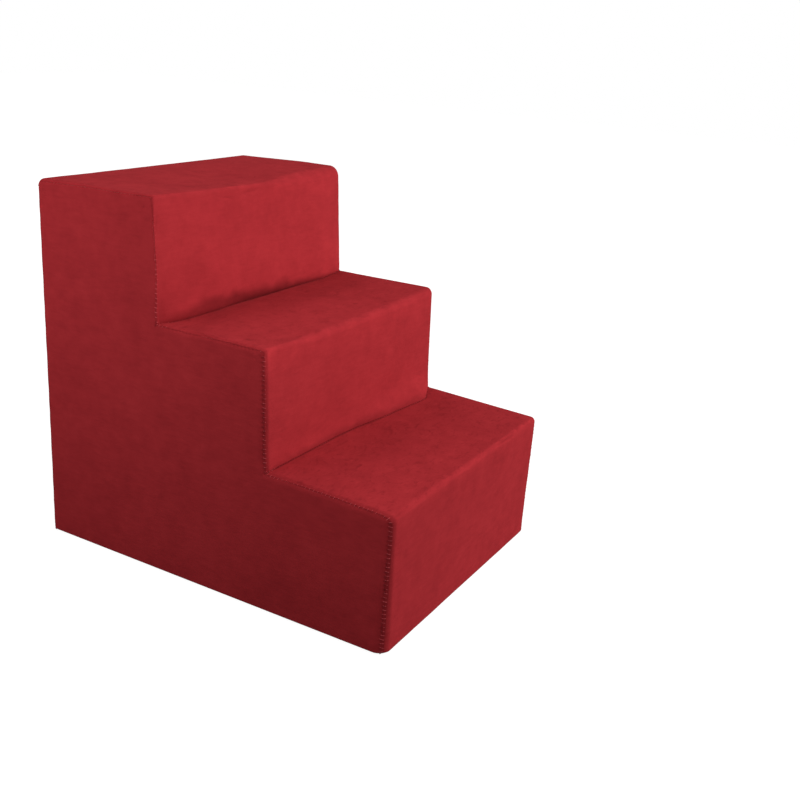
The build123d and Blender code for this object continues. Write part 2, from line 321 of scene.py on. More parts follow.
def rounded_path(corners, radii, counts, closed=False):
    """Points along (y, z) corners whose turns are rounded. counts gives the points of each run and
    each arc, so that paths of different insets match point for point."""
    n = len(corners)
    turns = range(n) if closed else range(1, n - 1)
    arcs = {
        k: corner_arc(corners[k - 1], corners[k], corners[(k + 1) % n], radii[k]) for k in turns
    }
    points = []
    for k in range(n):
        if k in arcs:
            start, centre, turn = arcs[k]
            angles = np.linspace(0, turn, counts[k][0])
            arm = start - centre
            bend = np.stack([
                centre[0] + arm[0] * np.cos(angles) - arm[1] * np.sin(angles),
                centre[1] + arm[0] * np.sin(angles) + arm[1] * np.cos(angles),
            ], axis=1)
        else:
            bend = np.array([corners[k]])
        points.append(bend)
        if k == n - 1 and not closed:
            break
        following = (k + 1) % n
        goal = arcs[following][0] if following in arcs else corners[following]
        steps = np.linspace(0, 1, counts[k][1] + 1)[1:-1, None]
        points.append(bend[-1] + (goal - bend[-1]) * steps)
    return np.concatenate(points)


def path_counts(corners, radii, step, closed=False):
    """How many points each arc and each run of a path gets, for a spacing of about step."""
    n = len(corners)
    counts = []
    for k in range(n):
        length = np.linalg.norm(corners[(k + 1) % n] - corners[k])
        arc = max(5, int(radii[k] * math.pi / 2 / min(step, 1.2)) + 1)
        counts.append((arc, max(2, round(length / step))))
    return counts


class Outline:
    """The run of a cover piece in side view: corners with the direction in which each moves when
    the run is drawn in, its rounding, and how that rounding changes."""

    def __init__(self, rows, step, closed=False):
        self.corner = np.array([row[:2] for row in rows], float)
        self.shift = np.array([row[2:4] for row in rows], float)
        self.radius = np.array([row[4] for row in rows], float)
        self.change = np.array([row[5] for row in rows], float)
        self.closed = closed
        self.counts = path_counts(self.corner, self.radius, step, closed)

    def at(self, inset):
        radii = np.maximum(self.radius + self.change * inset, 0.25)
        return rounded_path(
            self.corner + self.shift * inset, radii, self.counts, self.closed
        )


def graded(reach, first, growth, widest):
    """Distances from an edge up to reach, close together at the edge and wider further in."""
    steps, step = [0.0], first
    while steps[-1] + step < reach:
        steps.append(steps[-1] + step)
        step = min(step * growth, widest)
    return np.array(steps) * reach / (steps[-1] + step / 2)


# The seam line, as a run round the side view from the front foot to the rear foot
SEAM_ROWS = [
    (FRONT, FOOT, 1, 0, 0.0, 0),
    (FRONT, LOW_STEP[1], 1, -1, LOW_NOSING, -1),
    (*LOW_STEP, 1, -1, 0.6, 1),
    (LOW_STEP[0], HIGH_STEP[1], 1, -1, MIDDLE_NOSING, -1),
    (*HIGH_STEP, 1, -1, 0.6, 1),
    (HIGH_STEP[0], TOP, 1, -1, TOP_NOSING, -1),
    (BACK, TOP, -1, -1, REAR_TOP, -1),
    (BACK, FOOT, -1, 0, 0.0, 0),
]
seam_points = Outline(SEAM_ROWS, 1.0).at(SEAM_LINE)
seam_runs = np.linalg.norm(np.diff(seam_points, axis=0), axis=1)
seam_length = np.concatenate([[0.0], np.cumsum(seam_runs)])
seam_way = unit(np.gradient(seam_points, axis=0))
seam_tree = KDTree(len(seam_points))
for index, (y, z) in enumerate(seam_points):
    seam_tree.insert((y, z, 0.0), index)
seam_tree.balance()


def seam_frame(places):
    """How far inside the seam line (y, z) places lie, how far along it, and the way in there."""
    nearest = np.array([seam_tree.find((y, z, 0.0))[1] for y, z in places], int)
    rest = places - seam_points[nearest]
    way = seam_way[nearest]
    inward = np.column_stack([way[:, 1], -way[:, 0]])
    return (rest * inward).sum(1), seam_length[nearest] + (rest * way).sum(1), inward


def seam_near(places):
    """Distance from the seam line, and how far along it, for (y, z) places."""
    inside, along, _ = seam_frame(places)
    return np.abs(inside), along


# At places along the side seam: how tightly it is drawn in, how long its rungs are, how round the
# left edge is there, and how far the cloth is drawn over it
SEAM_STATE = [
    ((FRONT, FOOT), 0.75, 1.35, 11.0, 0.0),
    ((FRONT, 50), 0.85, 1.35, 10.5, 0.0),
    ((FRONT, 103), 0.85, 1.35, 7.5, 0.0),
    ((FRONT, LOW_STEP[1] - 8), 0.8, 1.2, 7.5, 0.4),
    ((FRONT + 12, LOW_STEP[1]), 0.6, 0.75, 6.5, 1.8),
    ((FRONT + 70, LOW_STEP[1]), 0.5, 0.68, 6.0, 2.4),
    ((FRONT + 105, LOW_STEP[1]), 0.3, 0.6, 6.0, 2.4),
    ((LOW_STEP[0] - 20, LOW_STEP[1]), 0.15, 0.5, 6.0, 2.0),
    ((LOW_STEP[0], LOW_STEP[1] + 12), 0.9, 1.1, 6.0, 1.2),
    ((LOW_STEP[0], LOW_STEP[1] + 50), 0.9, 1.0, 6.5, 1.2),
    ((LOW_STEP[0], HIGH_STEP[1] - 12), 0.9, 0.9, 6.0, 1.2),
    ((LOW_STEP[0] + 16, HIGH_STEP[1]), 0.8, 0.45, 5.0, 1.5),
    ((LOW_STEP[0] + 45, HIGH_STEP[1]), 0.6, 0.45, 5.0, 1.8),
    ((LOW_STEP[0] + 75, HIGH_STEP[1]), 0.15, 0.45, 5.0, 1.8),
    ((HIGH_STEP[0] - 26, HIGH_STEP[1]), 0.7, 0.45, 5.0, 1.8),
    ((HIGH_STEP[0], HIGH_STEP[1] + 8), 0.5, 0.8, 1.0, 2.0),
    ((HIGH_STEP[0], HIGH_STEP[1] + 40), 0.15, 0.65, 0.4, 2.2),
    ((HIGH_STEP[0], TOP - 30), 0.1, 0.5, 0.4, 2.2),
    ((HIGH_STEP[0] + 12, TOP), 0.4, 0.45, 3.0, 1.5),
    ((HIGH_STEP[0] + 40, TOP), 0.1, 0.45, 3.5, 1.2),
    ((BACK - 10, TOP), 0.1, 0.45, 4.5, 0.6),
    ((BACK, TOP - 20), 0.15, 0.45, 4.0, 0.0),
    ((BACK, FOOT), 0.2, 0.5, 4.0, 0.0),
]
state_at = seam_near(np.array([row[0] for row in SEAM_STATE], float))[1]


def seam_state(along, column):
    """A column of the table of seam states, at distances along the seam."""
    return np.interp(along, state_at, [row[column] for row in SEAM_STATE])


def seam_pull(gap, along):
    """How a row of seam stitches dents the cloth beside it, at a distance from the seam."""
    tight = seam_state(along, 1)
    dip = -0.15 * np.exp(-gap / 2.0)
    pucker = 0.22 * np.exp(-gap / 3.5) * np.cos(2 * math.pi * along / SEAM_PITCH)
    gather = 0.14 * np.exp(-gap / 8.0) * np.sin(along / 4.9 + 1.3 * np.sin(along / 17.0))
    return (dip - pucker) * tight + gather


# Small folds and dents that the photograph shows: middle, direction, length, width and height
FOLDS = [
    ((-160.5, 0, 275), (-0.25, -0.97, 0), 15, 1.8, 0.7),
    ((-164, 3, 274.3), (-0.25, -0.97, 0), 14, 1.5, -0.7),
    ((-163, 37, 275), (0, 1, 0), 14, 1.3, 0.5),
    ((-145.6, -37, 275), (0.43, -0.9, 0), 7, 2.6, -0.9),
    ((-100, -71.5, 273.9), (1, 0.07, 0), 9, 1.5, 0.5),
    ((-101, -65, 275), (1, 0.07, 0), 6, 2.2, -0.5),
    ((-14, -71.3, 273.7), (1, -0.2, 0), 5, 1.2, 0.45),
    ((-50, 67.1, 389.4), (1, 0, -0.15), 13, 1.4, -0.6),
    ((-8, 68, 392.8), (1, 0, 0.09), 17, 1.4, -0.6),
    ((-45, 71, 396.5), (1, 0, 0), 20, 3.0, 0.5),
    ((-137, 71, 396.8), (1, 0, 0), 6, 1.3, 0.5),
    ((80, -219, 147.6), (1, 0, -0.05), 30, 1.5, -0.8),
    ((62, -217.3, 149.0), (1, 0, 0), 62, 1.9, 0.7),
    ((-165, -60.5, 266.5), (0, -0.935, -0.354), 4, 1.0, 0.5),
    ((-165, -58, 264.3), (0, -0.935, -0.354), 4, 1.1, -0.5),
    ((-165, -66, 268), (0, -0.7, -0.7), 2.5, 1.4, -0.6),
    ((-164.5, 70, 397.6), (0, -0.85, -0.5), 2.6, 1.2, -1.1),
    ((-152, 67, 399), (1, 0, 0), 12, 1.3, -0.5),
    ((-95, 68, 399.5), (1, 0, 0.02), 22, 1.3, -0.7),
    ((-28, 67.5, 399), (1, 0, -0.02), 20, 1.3, -0.7),
]


def fold_height(points, fold, narrowed=1.0):
    """Height of a fold at points, with its width narrowed or not."""
    middle, way, length, width, rise = fold
    off = points - np.array(middle, float)
    way = unit(np.array(way, float))
    along = off @ way
    beside = np.linalg.norm(off - along[:, None] * way, axis=1)
    return rise * np.exp(-(along / length) ** 2 - (beside / (width * narrowed)) ** 2)


def cloth_relief(points):
    """Height of the cloth's own unevenness, out from its surface."""
    height = 0.16 * ruffle(points, 34.0, 11) + 0.08 * ruffle(points, 13.0, 12)
    height += 0.03 * ruffle(points, 4.0, 13)
    for fold in FOLDS:
        height += fold_height(points, fold)
    return height


def dents(points):
    """How deep the dents among the folds are at points, a little narrower, for the painted shade in
    them.
    """
    return -sum(fold_height(points, fold, 0.8) for fold in FOLDS if fold[-1] < 0)


# Painted light below each nosing, where the riser turns up to the lamps: its front and level, how
# far down the light reaches, and its amount by x
PAINTED_NOSING_LIGHTS = (
    (HIGH_STEP[0], TOP, 30, ((-165, 0.02), (0, 0.02), (45, 0.1), (165, 0.12))),
    (LOW_STEP[0], HIGH_STEP[1], 22,
     ((-165, 0.42), (-100, 0.22), (0, 0.18), (60, 0.17), (165, 0.12))),
    (FRONT, LOW_STEP[1], 8, ((-165, 0.03), (-120, 0.12), (-60, 0.19), (0, 0.22), (165, 0.1))),
)


def painted_nosing_light(points):
    """How much painted light falls below the nosings at points of the shape as cut."""
    x, y, z = points.T
    nosing_light = np.zeros(len(points))
    for front, level, reach, table in PAINTED_NOSING_LIGHTS:
        below = np.maximum(level - 2 - z, 0)
        riser = (1 - smooth(front + 1, front + 6, y)) * smooth(front - 20, front - 10, y)
        nosing_light += along_crease(x, table) * np.exp(-(below / reach) ** 2) * riser * (
            smooth(level - 75, level - 50, z))
    return nosing_light * (1 + 0.3 * ruffle(points, 20.0, 61))


def painted_shade_and_light(points):
    """How much painted shade darkens the cloth at points of the shape as cut: under a riser's roll,
    in the creases, in the dents and beside the seams, less the painted light below the nosings."""
    x, y, z = points.T
    painted_shading = np.zeros(len(points))
    rough = 1 + 0.3 * ruffle(points, 13.0, 17) + 0.1 * ruffle(points, 5.0, 18)
    # Painted shade under each riser's roll, where the roll shades it
    for crease in CREASES:
        crease_y, crease_z = crease["at"]
        height, share, level = (along_crease(x, [(row[0], row[k]) for row in crease["nap"]])
                                for k in (1, 2, 3))
        up = (z - crease_z) / height * rough
        fold = share * (1 - smooth(0, 1, (up - level) / (1 - level))) * smooth(-2, 0, z - crease_z)
        painted_shading = np.maximum(painted_shading, fold * smooth(crease_y - 3, crease_y - 1, y)
                             * (1 - smooth(crease_y + 6, crease_y + 12, y)))
        # Painted shade along the crease line itself
        off = np.hypot(y - crease_y, z - crease_z)
        painted_shading = np.maximum(painted_shading, 0.12 * np.exp(-(off / 2.2) ** 2))
    # Painted shade in the dents among the folds
    painted_shading = np.maximum(painted_shading, 0.45 * dents(points))
    # Painted shade beside the side seams and in the slots between their stitches
    inside, along, _ = seam_frame(points[:, 1:])
    gap = np.abs(inside)
    tight = seam_state(along, 1) * smooth(SIDE - 5, SIDE - 1.5, np.abs(x))
    slot = np.maximum(np.cos(2 * math.pi * (along + 0.45 * inside) / SEAM_PITCH + math.pi), 0) ** 2
    beside = 0.12 * np.exp(-(gap / 1.3) ** 2) + 0.5 * slot * np.exp(-(gap / 2.2) ** 2)
    # The painted light below the nosings is taken off
    return np.maximum(painted_shading, beside * tight) - painted_nosing_light(points)


def keep_values(piece, label, amounts):
    """Keeps a value for each point of a piece, for its finish."""
    column = piece.data.attributes.new(label, "FLOAT", "POINT")
    column.data.foreach_set("value", np.asarray(amounts, float))


def put_in_scene(name, data):
    """An object of its data, linked to the scene."""
    item = bpy.data.objects.new(name, data)
    bpy.context.scene.collection.objects.link(item)
    return item


def add_piece(name, points, faces, material):
    """A smooth mesh piece from points in millimetres, with its faces turned outwards."""
    points = np.asarray(points, float) * MM
    mesh = bpy.data.meshes.new(name)
    mesh.from_pydata(points.tolist(), [], faces)
    corners = np.zeros(len(mesh.loops), int)
    mesh.loops.foreach_get("vertex_index", corners)
    mesh.calc_loop_triangles()
    triangles = np.zeros(len(mesh.loop_triangles) * 3, int)
    mesh.loop_triangles.foreach_get("vertices", triangles)
    a, b, c = points[triangles.reshape(-1, 3)].transpose(1, 0, 2)
    if np.einsum("ij,ij->", a, np.cross(b, c)) < 0:
        mesh.flip_normals()
    mesh.polygons.foreach_set("use_smooth", [True] * len(mesh.polygons))
    mesh.materials.append(material)
    return put_in_scene(name, mesh)


def dress(piece, body, slot, *nodes):
    """Lets a piece ride on a body and stand for CAD nodes. The slot is not used."""
    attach(piece, body)
    if nodes:
        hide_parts(*nodes)
    return piece


def grid_normals(grid, outward):
    """Normals of a grid of points, on the side that faces outward at its middle."""
    normal = unit(np.cross(np.gradient(grid, axis=0), np.gradient(grid, axis=1)))
    middle = normal[normal.shape[0] // 2, normal.shape[1] // 2]
    return normal if middle @ np.array(outward, float) > 0 else -normal


def polygon_area(points):
    """Signed area of a closed run of points."""
    following = np.roll(points, -1, axis=0)
    return 0.5 * np.sum(points[:, 0] * following[:, 1] - following[:, 0] * points[:, 1])


def inside_outline(places, outline):
    """Which places lie inside a closed outline."""
    count = np.zeros(len(places), int)
    following = np.roll(outline, -1, axis=0)
    for (y1, z1), (y2, z2) in zip(outline, following):
        if z1 == z2:
            continue
        spans = (places[:, 1] >= min(z1, z2)) & (places[:, 1] < max(z1, z2))
        cross = y1 + (places[:, 1] - z1) * (y2 - y1) / (z2 - z1)
        count += spans & (cross > places[:, 0])
    return count % 2 == 1


def spread_grid(columns, rows, shift=0.0):
    """Places on a grid, with every other row shifted."""
    across, up = np.meshgrid(columns, rows)
    across[::2] += shift
    return np.column_stack([across.ravel(), up.ravel()])


def filled(rim, loose):
    """A flat face inside a closed rim, with loose places in it: its points, its triangles, which
    run round as the rim does, and the point that each place of the rim or within it became."""
    edges = [(k, (k + 1) % len(rim)) for k in range(len(rim))]
    result = delaunay_2d_cdt(np.concatenate([rim, loose]).tolist(), edges, [], 1, 1e-6)
    plane = np.array([tuple(point) for point in result[0]])
    triangles = np.array([list(face) for face in result[2]])
    if polygon_area(plane[triangles[0]]) * polygon_area(rim) < 0:
        triangles = triangles[:, ::-1]
    return plane, triangles, {group[0]: k for k, group in enumerate(result[3])}


def grid_faces(columns, rows):
    """Faces of a closed sheet: an outer grid, an inner one under it, and the rim between."""
    at = np.arange(columns * rows).reshape(columns, rows)
    under = at + columns * rows
    outer = np.stack([at[:-1, :-1], at[1:, :-1], at[1:, 1:], at[:-1, 1:]], axis=-1)
    inner = np.stack([under[:-1, :-1], under[:-1, 1:], under[1:, 1:], under[1:, :-1]], axis=-1)
    rim = np.concatenate([at[:, 0], at[-1, 1:], at[-2::-1, -1], at[0, -2::-1]])
    low = np.concatenate([under[:, 0], under[-1, 1:], under[-2::-1, -1], under[0, -2::-1]])
    wall = np.stack([rim[:-1], low[:-1], low[1:], rim[1:]], axis=-1)
    return outer.reshape(-1, 4).tolist() + inner.reshape(-1, 4).tolist() + wall.tolist()


def edge_section(side):
    """Half of a wrap's cross-section as (x, inset, turn): the groove's lip, the side and the roll.
    The turn is that of the direction in which the cloth swells there, from its face to its side."""
    section = [(SIDE - LIP_DEPTH, SEAM_INSET, 1.0)]
    for angle in np.linspace(math.pi / 2, 0, 5):
        inset = SEAM_INSET - LIP + LIP * math.sin(angle)
        section.append((SIDE - LIP + LIP * math.cos(angle), inset, 1.0))
    for angle in np.linspace(math.pi / 2, 0, 7)[:-1]:
        inset = EDGE_ROLL * (1 - math.cos(angle))
        section.append((SIDE - EDGE_ROLL * (1 - math.sin(angle)), inset, angle * 2 / math.pi))
    return [(side * x, inset, side * turn) for x, inset, turn in section]


def full_section():
    """A wrap's cross-section from one seam to the other."""
    left = edge_section(-1)
    right = edge_section(1)[::-1]
    flat = SIDE - EDGE_ROLL
    half = graded(flat, 1.0, 1.16, 4.4)
    inner = np.concatenate([-flat + half, flat - half[::-1]])
    return left + [(x, 0.0, 0.0) for x in inner] + right


def wrap_cloth(name, rows, section, outward, nodes, step=1.15, hem_fade=True):
    """A strip of the cover that runs along an outline and rolls over the side edges."""
    outline = Outline(rows, step)
    grid = np.array([
        np.column_stack([np.full(len(run), x), run])
        for x, run in ((x, outline.at(inset)) for x, inset, turn in section)
    ])
    columns, length = grid.shape[:2]
    middle = grid_normals(grid, outward)[columns // 2]
    turn = np.array([row[2] for row in section])[:, None, None] * math.pi / 2
    normal = np.cos(turn) * middle[None] + np.sin(turn) * np.array([1.0, 0.0, 0.0])
    from_end = np.minimum(np.arange(length), np.arange(length)[::-1]) * step
    ends = smooth(2.0, 6.0, from_end) if hem_fade else np.ones(length)
    reach_steps = np.linalg.norm(np.diff(np.array(section)[:, :2], axis=0), axis=1)
    from_left = np.concatenate([[0.0], np.cumsum(reach_steps)])
    from_right = from_left[-1] - from_left
    reach = np.maximum(np.minimum(from_left, from_right) - LIP_DEPTH - LIP / 2, 0)
    at_lip = outline.at(SEAM_INSET)
    _, along = seam_near(at_lip)
    depth = SIDE - np.abs(grid[..., 0])
    tight = seam_state(along, 1)[None, :]

    # Where the seam is looser, its lip stays nearer the side
    lip = (np.abs(turn[..., 0]) > 1.5) & (depth < LIP_DEPTH + 0.1)
    grid[..., 0] += np.sign(grid[..., 0]) * np.where(lip, depth * (1 - tight), 0)

    # The cloth's unevenness, its settling and its thickness
    up = smooth(LOW_STEP[1], TOP, grid[..., 2])
    flat = grid.reshape(-1, 3)
    height = cloth_relief(flat).reshape(columns, length) * smooth(0, 5, reach)[:, None]
    height = (height + seam_pull(reach[:, None], along[None, :])) * ends
    # Painted shade and light, kept for the finish
    painted_shading = painted_shade_and_light(flat)
    grid = settle((grid + normal * height[..., None]).reshape(-1, 3)).reshape(grid.shape)
    inner = grid - grid_normals(grid, outward) * CLOTH
    points = np.concatenate([grid.reshape(-1, 3), inner.reshape(-1, 3)])
    piece = add_piece(name, points, grid_faces(columns, length), microsuede)
    keep_values(piece, "painted_shading", np.tile(painted_shading, 2))
    trodden = smooth(0.4, 0.95, normal[..., 2]) * (1.25 - 0.55 * up)
    keep_values(piece, "trodden", np.tile(trodden.ravel(), 2))
    dress(piece, "stairs", "cover_cloth", *nodes)


# A side's face: the inset of each ring beside the seam and how many of its points stay, the spacing
# of the grid inside them and how far from the seam it starts
INNER_RINGS = ((1.9, 1), (3.1, 1), (4.7, 2), (6.8, 2), (9.6, 2))
SIDE_SPREAD = 3.8
GRID_INSET = 11.6


def side_cloth(name, side, node):
    """A stair-shaped side of the cover, whose edges turn in at the seam."""
    start = SEAM_INSET + SEAM_GAP
    rows = []
    for y, z, move_y, move_z, radius, change in SEAM_ROWS:
        foot = z == FOOT
        convex = change <= 0
        rows.append((
            y + move_y * start,
            z + move_z * start,
            move_y,
            1 if foot else move_z,
            0.8 if foot else max(radius + change * start, 0.6) if convex else 1.0,
            0 if foot else change,
        ))
    outline = Outline(rows, 1.15, closed=True)
    rings = []
    lean = []
    for angle in (90, 90, 60, 30, 0):
        deep = LIP * (1 - math.cos(math.radians(angle))) if rings else LIP_DEPTH
        run = outline.at(LIP * (1 - math.sin(math.radians(angle))))
        rings.append(np.column_stack([np.full(len(run), side * (SIDE - deep)), run]))
        lean.append(math.radians(angle))
    count = len(rings[0])
    ring_way = unit(np.roll(rings[-1], -1, axis=0) - np.roll(rings[-1], 1, axis=0))
    outer_way = np.cross(ring_way, (1.0, 0.0, 0.0))
    if outer_way[np.argmin(rings[-1][:, 2]), 2] > 0:
        outer_way = -outer_way

    # The face inside the rings: more rings close to the seam, then a plain grid
    loose = [outline.at(inset)[::every] for inset, every in INNER_RINGS]
    grid = spread_grid(np.arange(FRONT, BACK, SIDE_SPREAD),
                       np.arange(FOOT, TOP, SIDE_SPREAD * 0.87), SIDE_SPREAD / 2)
    loose.append(grid[inside_outline(grid, outline.at(GRID_INSET))])
    plane, triangles, order = filled(rings[-1][:, 1:], np.concatenate(loose))

    face = np.column_stack([np.full(len(plane), side * SIDE), plane])
    lip = np.concatenate(rings[:-1])
    outer = np.concatenate([lip, face])
    normal = np.tile((float(side), 0.0, 0.0), (len(outer), 1))
    for k, angle in enumerate(lean[:-1]):
        part = slice(k * count, (k + 1) * count)
        normal[part] = math.cos(angle) * normal[part] + math.sin(angle) * outer_way
    gap, along = seam_near(outer[:, 1:])
    foot = outer[:, 2] < FOOT + 2.5
    tight = np.where(foot, 1.0, seam_state(along, 1))
    outer[:, 0] += side * (SIDE - np.abs(outer[:, 0])) * (1 - tight)
    height = cloth_relief(outer) * smooth(1, 6, gap)
    height += seam_pull(np.maximum(gap - LIP, 0), along)
    outer[:, 0] += side * height * smooth(2, 10, outer[:, 2] - FOOT)
    # Painted shade and light, kept for the finish
    painted_shading = painted_shade_and_light(outer)
    inner = settle(outer - normal * CLOTH)
    outer = settle(outer)

    faces = []
    base = (len(rings) - 1) * count
    total = len(outer)
    for k in range(len(rings) - 1):
        for j in range(count):
            a, b = k * count + j, k * count + (j + 1) % count
            if k + 2 < len(rings):
                c, d = b + count, a + count
            else:
                c, d = base + order[(j + 1) % count], base + order[j]
            faces.append([a, b, c, d])
            faces.append([a + total, d + total, c + total, b + total])
    for j in range(count):
        a, b = j, (j + 1) % count
        faces.append([b, a, a + total, b + total])
    for triangle in triangles:
        faces.append((base + triangle).tolist())
        faces.append((base + total + triangle[::-1]).tolist())
    piece = add_piece(name, np.concatenate([outer, inner]), faces, microsuede)
    keep_values(piece, "painted_shading", np.tile(painted_shading, 2))
    dress(piece, "stairs", "cover_cloth", node)


class NodeWork:
    """A node tree with short calls to add nodes and to join them."""

    def __init__(self, tree):
        self.tree = tree

    def node(self, kind, inputs=None, **settings):
        node = self.tree.nodes.new(kind)
        for key, value in settings.items():
            setattr(node, key, value)
        for key, value in (inputs or {}).items():
            self.join(value, node.inputs[key])
        return node

    def join(self, value, socket):
        if isinstance(value, bpy.types.NodeSocket):
            self.tree.links.new(value, socket)
        else:
            socket.default_value = value

    def maths(self, operation, a, b=0.0):
        return self.node("ShaderNodeMath", {0: a, 1: b}, operation=operation).outputs[0]

    def white_where_seen(self, lit, white, end):
        """Shows the white shader to the camera and in shine, and the lit one to all other rays."""
        path = self.node("ShaderNodeLightPath").outputs
        seen = self.maths("MAXIMUM", path["Is Camera Ray"], path["Is Glossy Ray"])
        seen = self.maths("MAXIMUM", seen, path["Is Transmission Ray"])
        mix = self.node("ShaderNodeMixShader", {0: seen, 1: lit, 2: white}).outputs[0]
        self.join(mix, self.tree.nodes[end].inputs["Surface"])


# Finishes
class Finish(NodeWork):
    """A material made of nodes."""

    SOCKETS = {
        "colour": "Base Color", "roughness": "Roughness", "metal": "Metallic",
        "sheen": "Sheen Weight", "sheen_roughness": "Sheen Roughness", "sheen_tint": "Sheen Tint",
        "specular": "Specular IOR Level",
    }

    def __init__(self, name):
        self.material = bpy.data.materials.new(name)
        self.material.use_nodes = True
        super().__init__(self.material.node_tree)
        self.shader = self.tree.nodes["Principled BSDF"]
        self.place = self.node("ShaderNodeTexCoord").outputs["Object"]

    def kept(self, label):
        """A value that keep_values has kept."""
        return self.node("ShaderNodeAttribute", attribute_name=label).outputs["Fac"]

    def stretched(self, x, y, z):
        return self.node(
            "ShaderNodeMapping", {"Vector": self.place, "Scale": (x, y, z)}
        ).outputs["Vector"]

    def noise(self, scale, detail=3.0, rough=0.5, where=None):
        return self.node(
            "ShaderNodeTexNoise",
            {"Vector": where or self.place, "Scale": scale, "Detail": detail, "Roughness": rough},
        ).outputs["Fac"]

    def bands(self, scale, direction, where=None):
        """Even bands of light and dark, as a weave or a twill has."""
        return self.node(
            "ShaderNodeTexWave", {"Vector": where or self.place, "Scale": scale},
            bands_direction=direction,
        ).outputs["Fac"]

    def ranged(self, value, least, most, start, end):
        """A value from least to most, as one from start to end."""
        return self.node("ShaderNodeMapRange", {
            "Value": value, "From Min": least, "From Max": most, "To Min": start, "To Max": end,
        }).outputs["Result"]

    def shares(self, a, share_a, b, share_b):
        """The sum of two values, each times its share."""
        return self.maths(
            "ADD", self.maths("MULTIPLY", a, share_a), self.maths("MULTIPLY", b, share_b)
        )

    def weigh(self, parts):
        """The sum of values, each less its middle and times its weight."""
        total = None
        for value, weight in parts:
            part = self.maths("MULTIPLY", self.maths("SUBTRACT", value, 0.5), weight)
            total = part if total is None else self.maths("ADD", total, part)
        return total

    def colours(self, value, stops):
        ramp = self.node("ShaderNodeValToRGB", {"Fac": value})
        elements = ramp.color_ramp.elements
        while len(elements) < len(stops):
            elements.new(0.5)
        for element, (position, colour) in zip(elements, stops):
            element.position = position
            element.color = (*colour, 1.0)
        return ramp.outputs["Color"]

    def bump(self, height, distance, strength=1.0):
        node = self.node(
            "ShaderNodeBump", {"Height": height, "Distance": distance, "Strength": strength}
        )
        self.join(node.outputs["Normal"], self.shader.inputs["Normal"])

    def set(self, **values):
        for key, value in values.items():
            self.join(value, self.shader.inputs[self.SOCKETS[key]])
        return self.material


def make_microsuede():
    """Crimson microsuede: a short nap, brushed level, with crushed patches."""
    suede = Finish("crimson_microsuede")
    brushed = suede.stretched(0.25, 0.25, 1.0)
    patches = suede.noise(17.0, 2.0, 0.5)
    crush = suede.noise(60.0, 3.0, 0.6)
    streaks = suede.noise(260.0, 3.0, 0.6, brushed)
    nap = suede.noise(1400.0, 2.0, 0.6)
    shade = suede.weigh([(patches, 0.34), (crush, 0.46), (streaks, 0.32), (nap, 0.24)])
    level = suede.maths("ADD", shade, 0.5)

    # Short marks, brushed this way and that on the treads
    trodden = suede.kept("trodden")
    wander = suede.node("ShaderNodeTexNoise", {"Vector": suede.place, "Scale": 28.0})
    drift = suede.node(
        "ShaderNodeVectorMath", {0: wander.outputs["Color"], "Scale": 0.03}, operation="SCALE"
    ).outputs["Vector"]
    swirl = suede.node(
        "ShaderNodeVectorMath", {0: suede.place, 1: drift}, operation="ADD"
    ).outputs["Vector"]
    for turn, scale, weight in ((0.6, 190.0, 0.5), (-0.7, 330.0, 0.4)):
        way = suede.node("ShaderNodeMapping", {
            "Vector": swirl, "Rotation": (0.0, 0.0, turn), "Scale": (0.4, 1.0, 1.0),
        }).outputs["Vector"]
        dark = suede.noise(scale, 2.0, 0.55, way)
        light = suede.noise(scale * 0.8, 2.0, 0.55, way)
        marks = suede.maths("ADD", suede.ranged(dark, 0.56, 0.76, 0.0, -0.5 * weight),
                            suede.ranged(light, 0.62, 0.80, 0.0, 0.35 * weight))
        level = suede.maths("ADD", level, suede.maths("MULTIPLY", trodden, marks))
    colour = suede.colours(level, [
        (0.20, (0.320, 0.0215, 0.0270)),
        (0.50, (0.405, 0.0277, 0.0340)),
        (0.80, (0.480, 0.0350, 0.0420)),
    ])

    # Painted shade darkens the colour under the risers' rolls, in the creases, dents and beside the
    # seams, and painted light lightens it below the nosings
    painted_shading_factor = suede.maths("SUBTRACT", 1.0, suede.maths("MULTIPLY", suede.kept("painted_shading"), 0.6))
    painted_shading_grey = suede.node(
        "ShaderNodeCombineColor", {"Red": painted_shading_factor, "Green": painted_shading_factor, "Blue": painted_shading_factor}
    ).outputs[0]
    colour = suede.node(
        "ShaderNodeMix", {"Factor": 1.0, 6: colour, 7: painted_shading_grey}, data_type="RGBA",
        blend_type="MULTIPLY",
    ).outputs[2]
    height = suede.weigh([(crush, 0.5), (streaks, 0.6), (nap, 0.5)])
    suede.bump(height, 0.0006, 0.5)
    return suede.set(
        colour=colour, roughness=0.95, specular=0.0, sheen=0.02, sheen_roughness=0.5,
        sheen_tint=(1.0, 0.42, 0.42, 1.0),
    )


def make_thread():
    """Polyester sewing thread, twisted and a little shiny, in a crimson lighter than the cloth's:
    partly its own colour, partly painted highlight where the thread stands out.
    """
    thread = Finish("crimson_thread")
    twist = thread.noise(2600.0, 1.0, 0.5)
    # These colours, lighter than the cloth's, hold a painted highlight of the raised stitches
    colour = thread.colours(twist, [(0.3, (0.58, 0.065, 0.078)), (0.7, (0.76, 0.115, 0.13))])
    thread.bump(twist, 0.0002, 0.6)
    return thread.set(colour=colour, roughness=0.7, specular=0.08)


def make_foam():
    """Cream upholstery foam with open cells."""
    foam = Finish("cream_foam")
    cells = foam.node("ShaderNodeTexVoronoi", {"Vector": foam.place, "Scale": 900.0})
    cells = cells.outputs["Distance"]
    level = foam.shares(cells, 0.7, foam.noise(30.0), 0.3)
    colour = foam.colours(level, [(0.1, (0.62, 0.56, 0.40)), (0.7, (0.84, 0.79, 0.63))])
    foam.bump(cells, 0.0006, 0.8)
    return foam.set(colour=colour, roughness=0.95, specular=0.2)


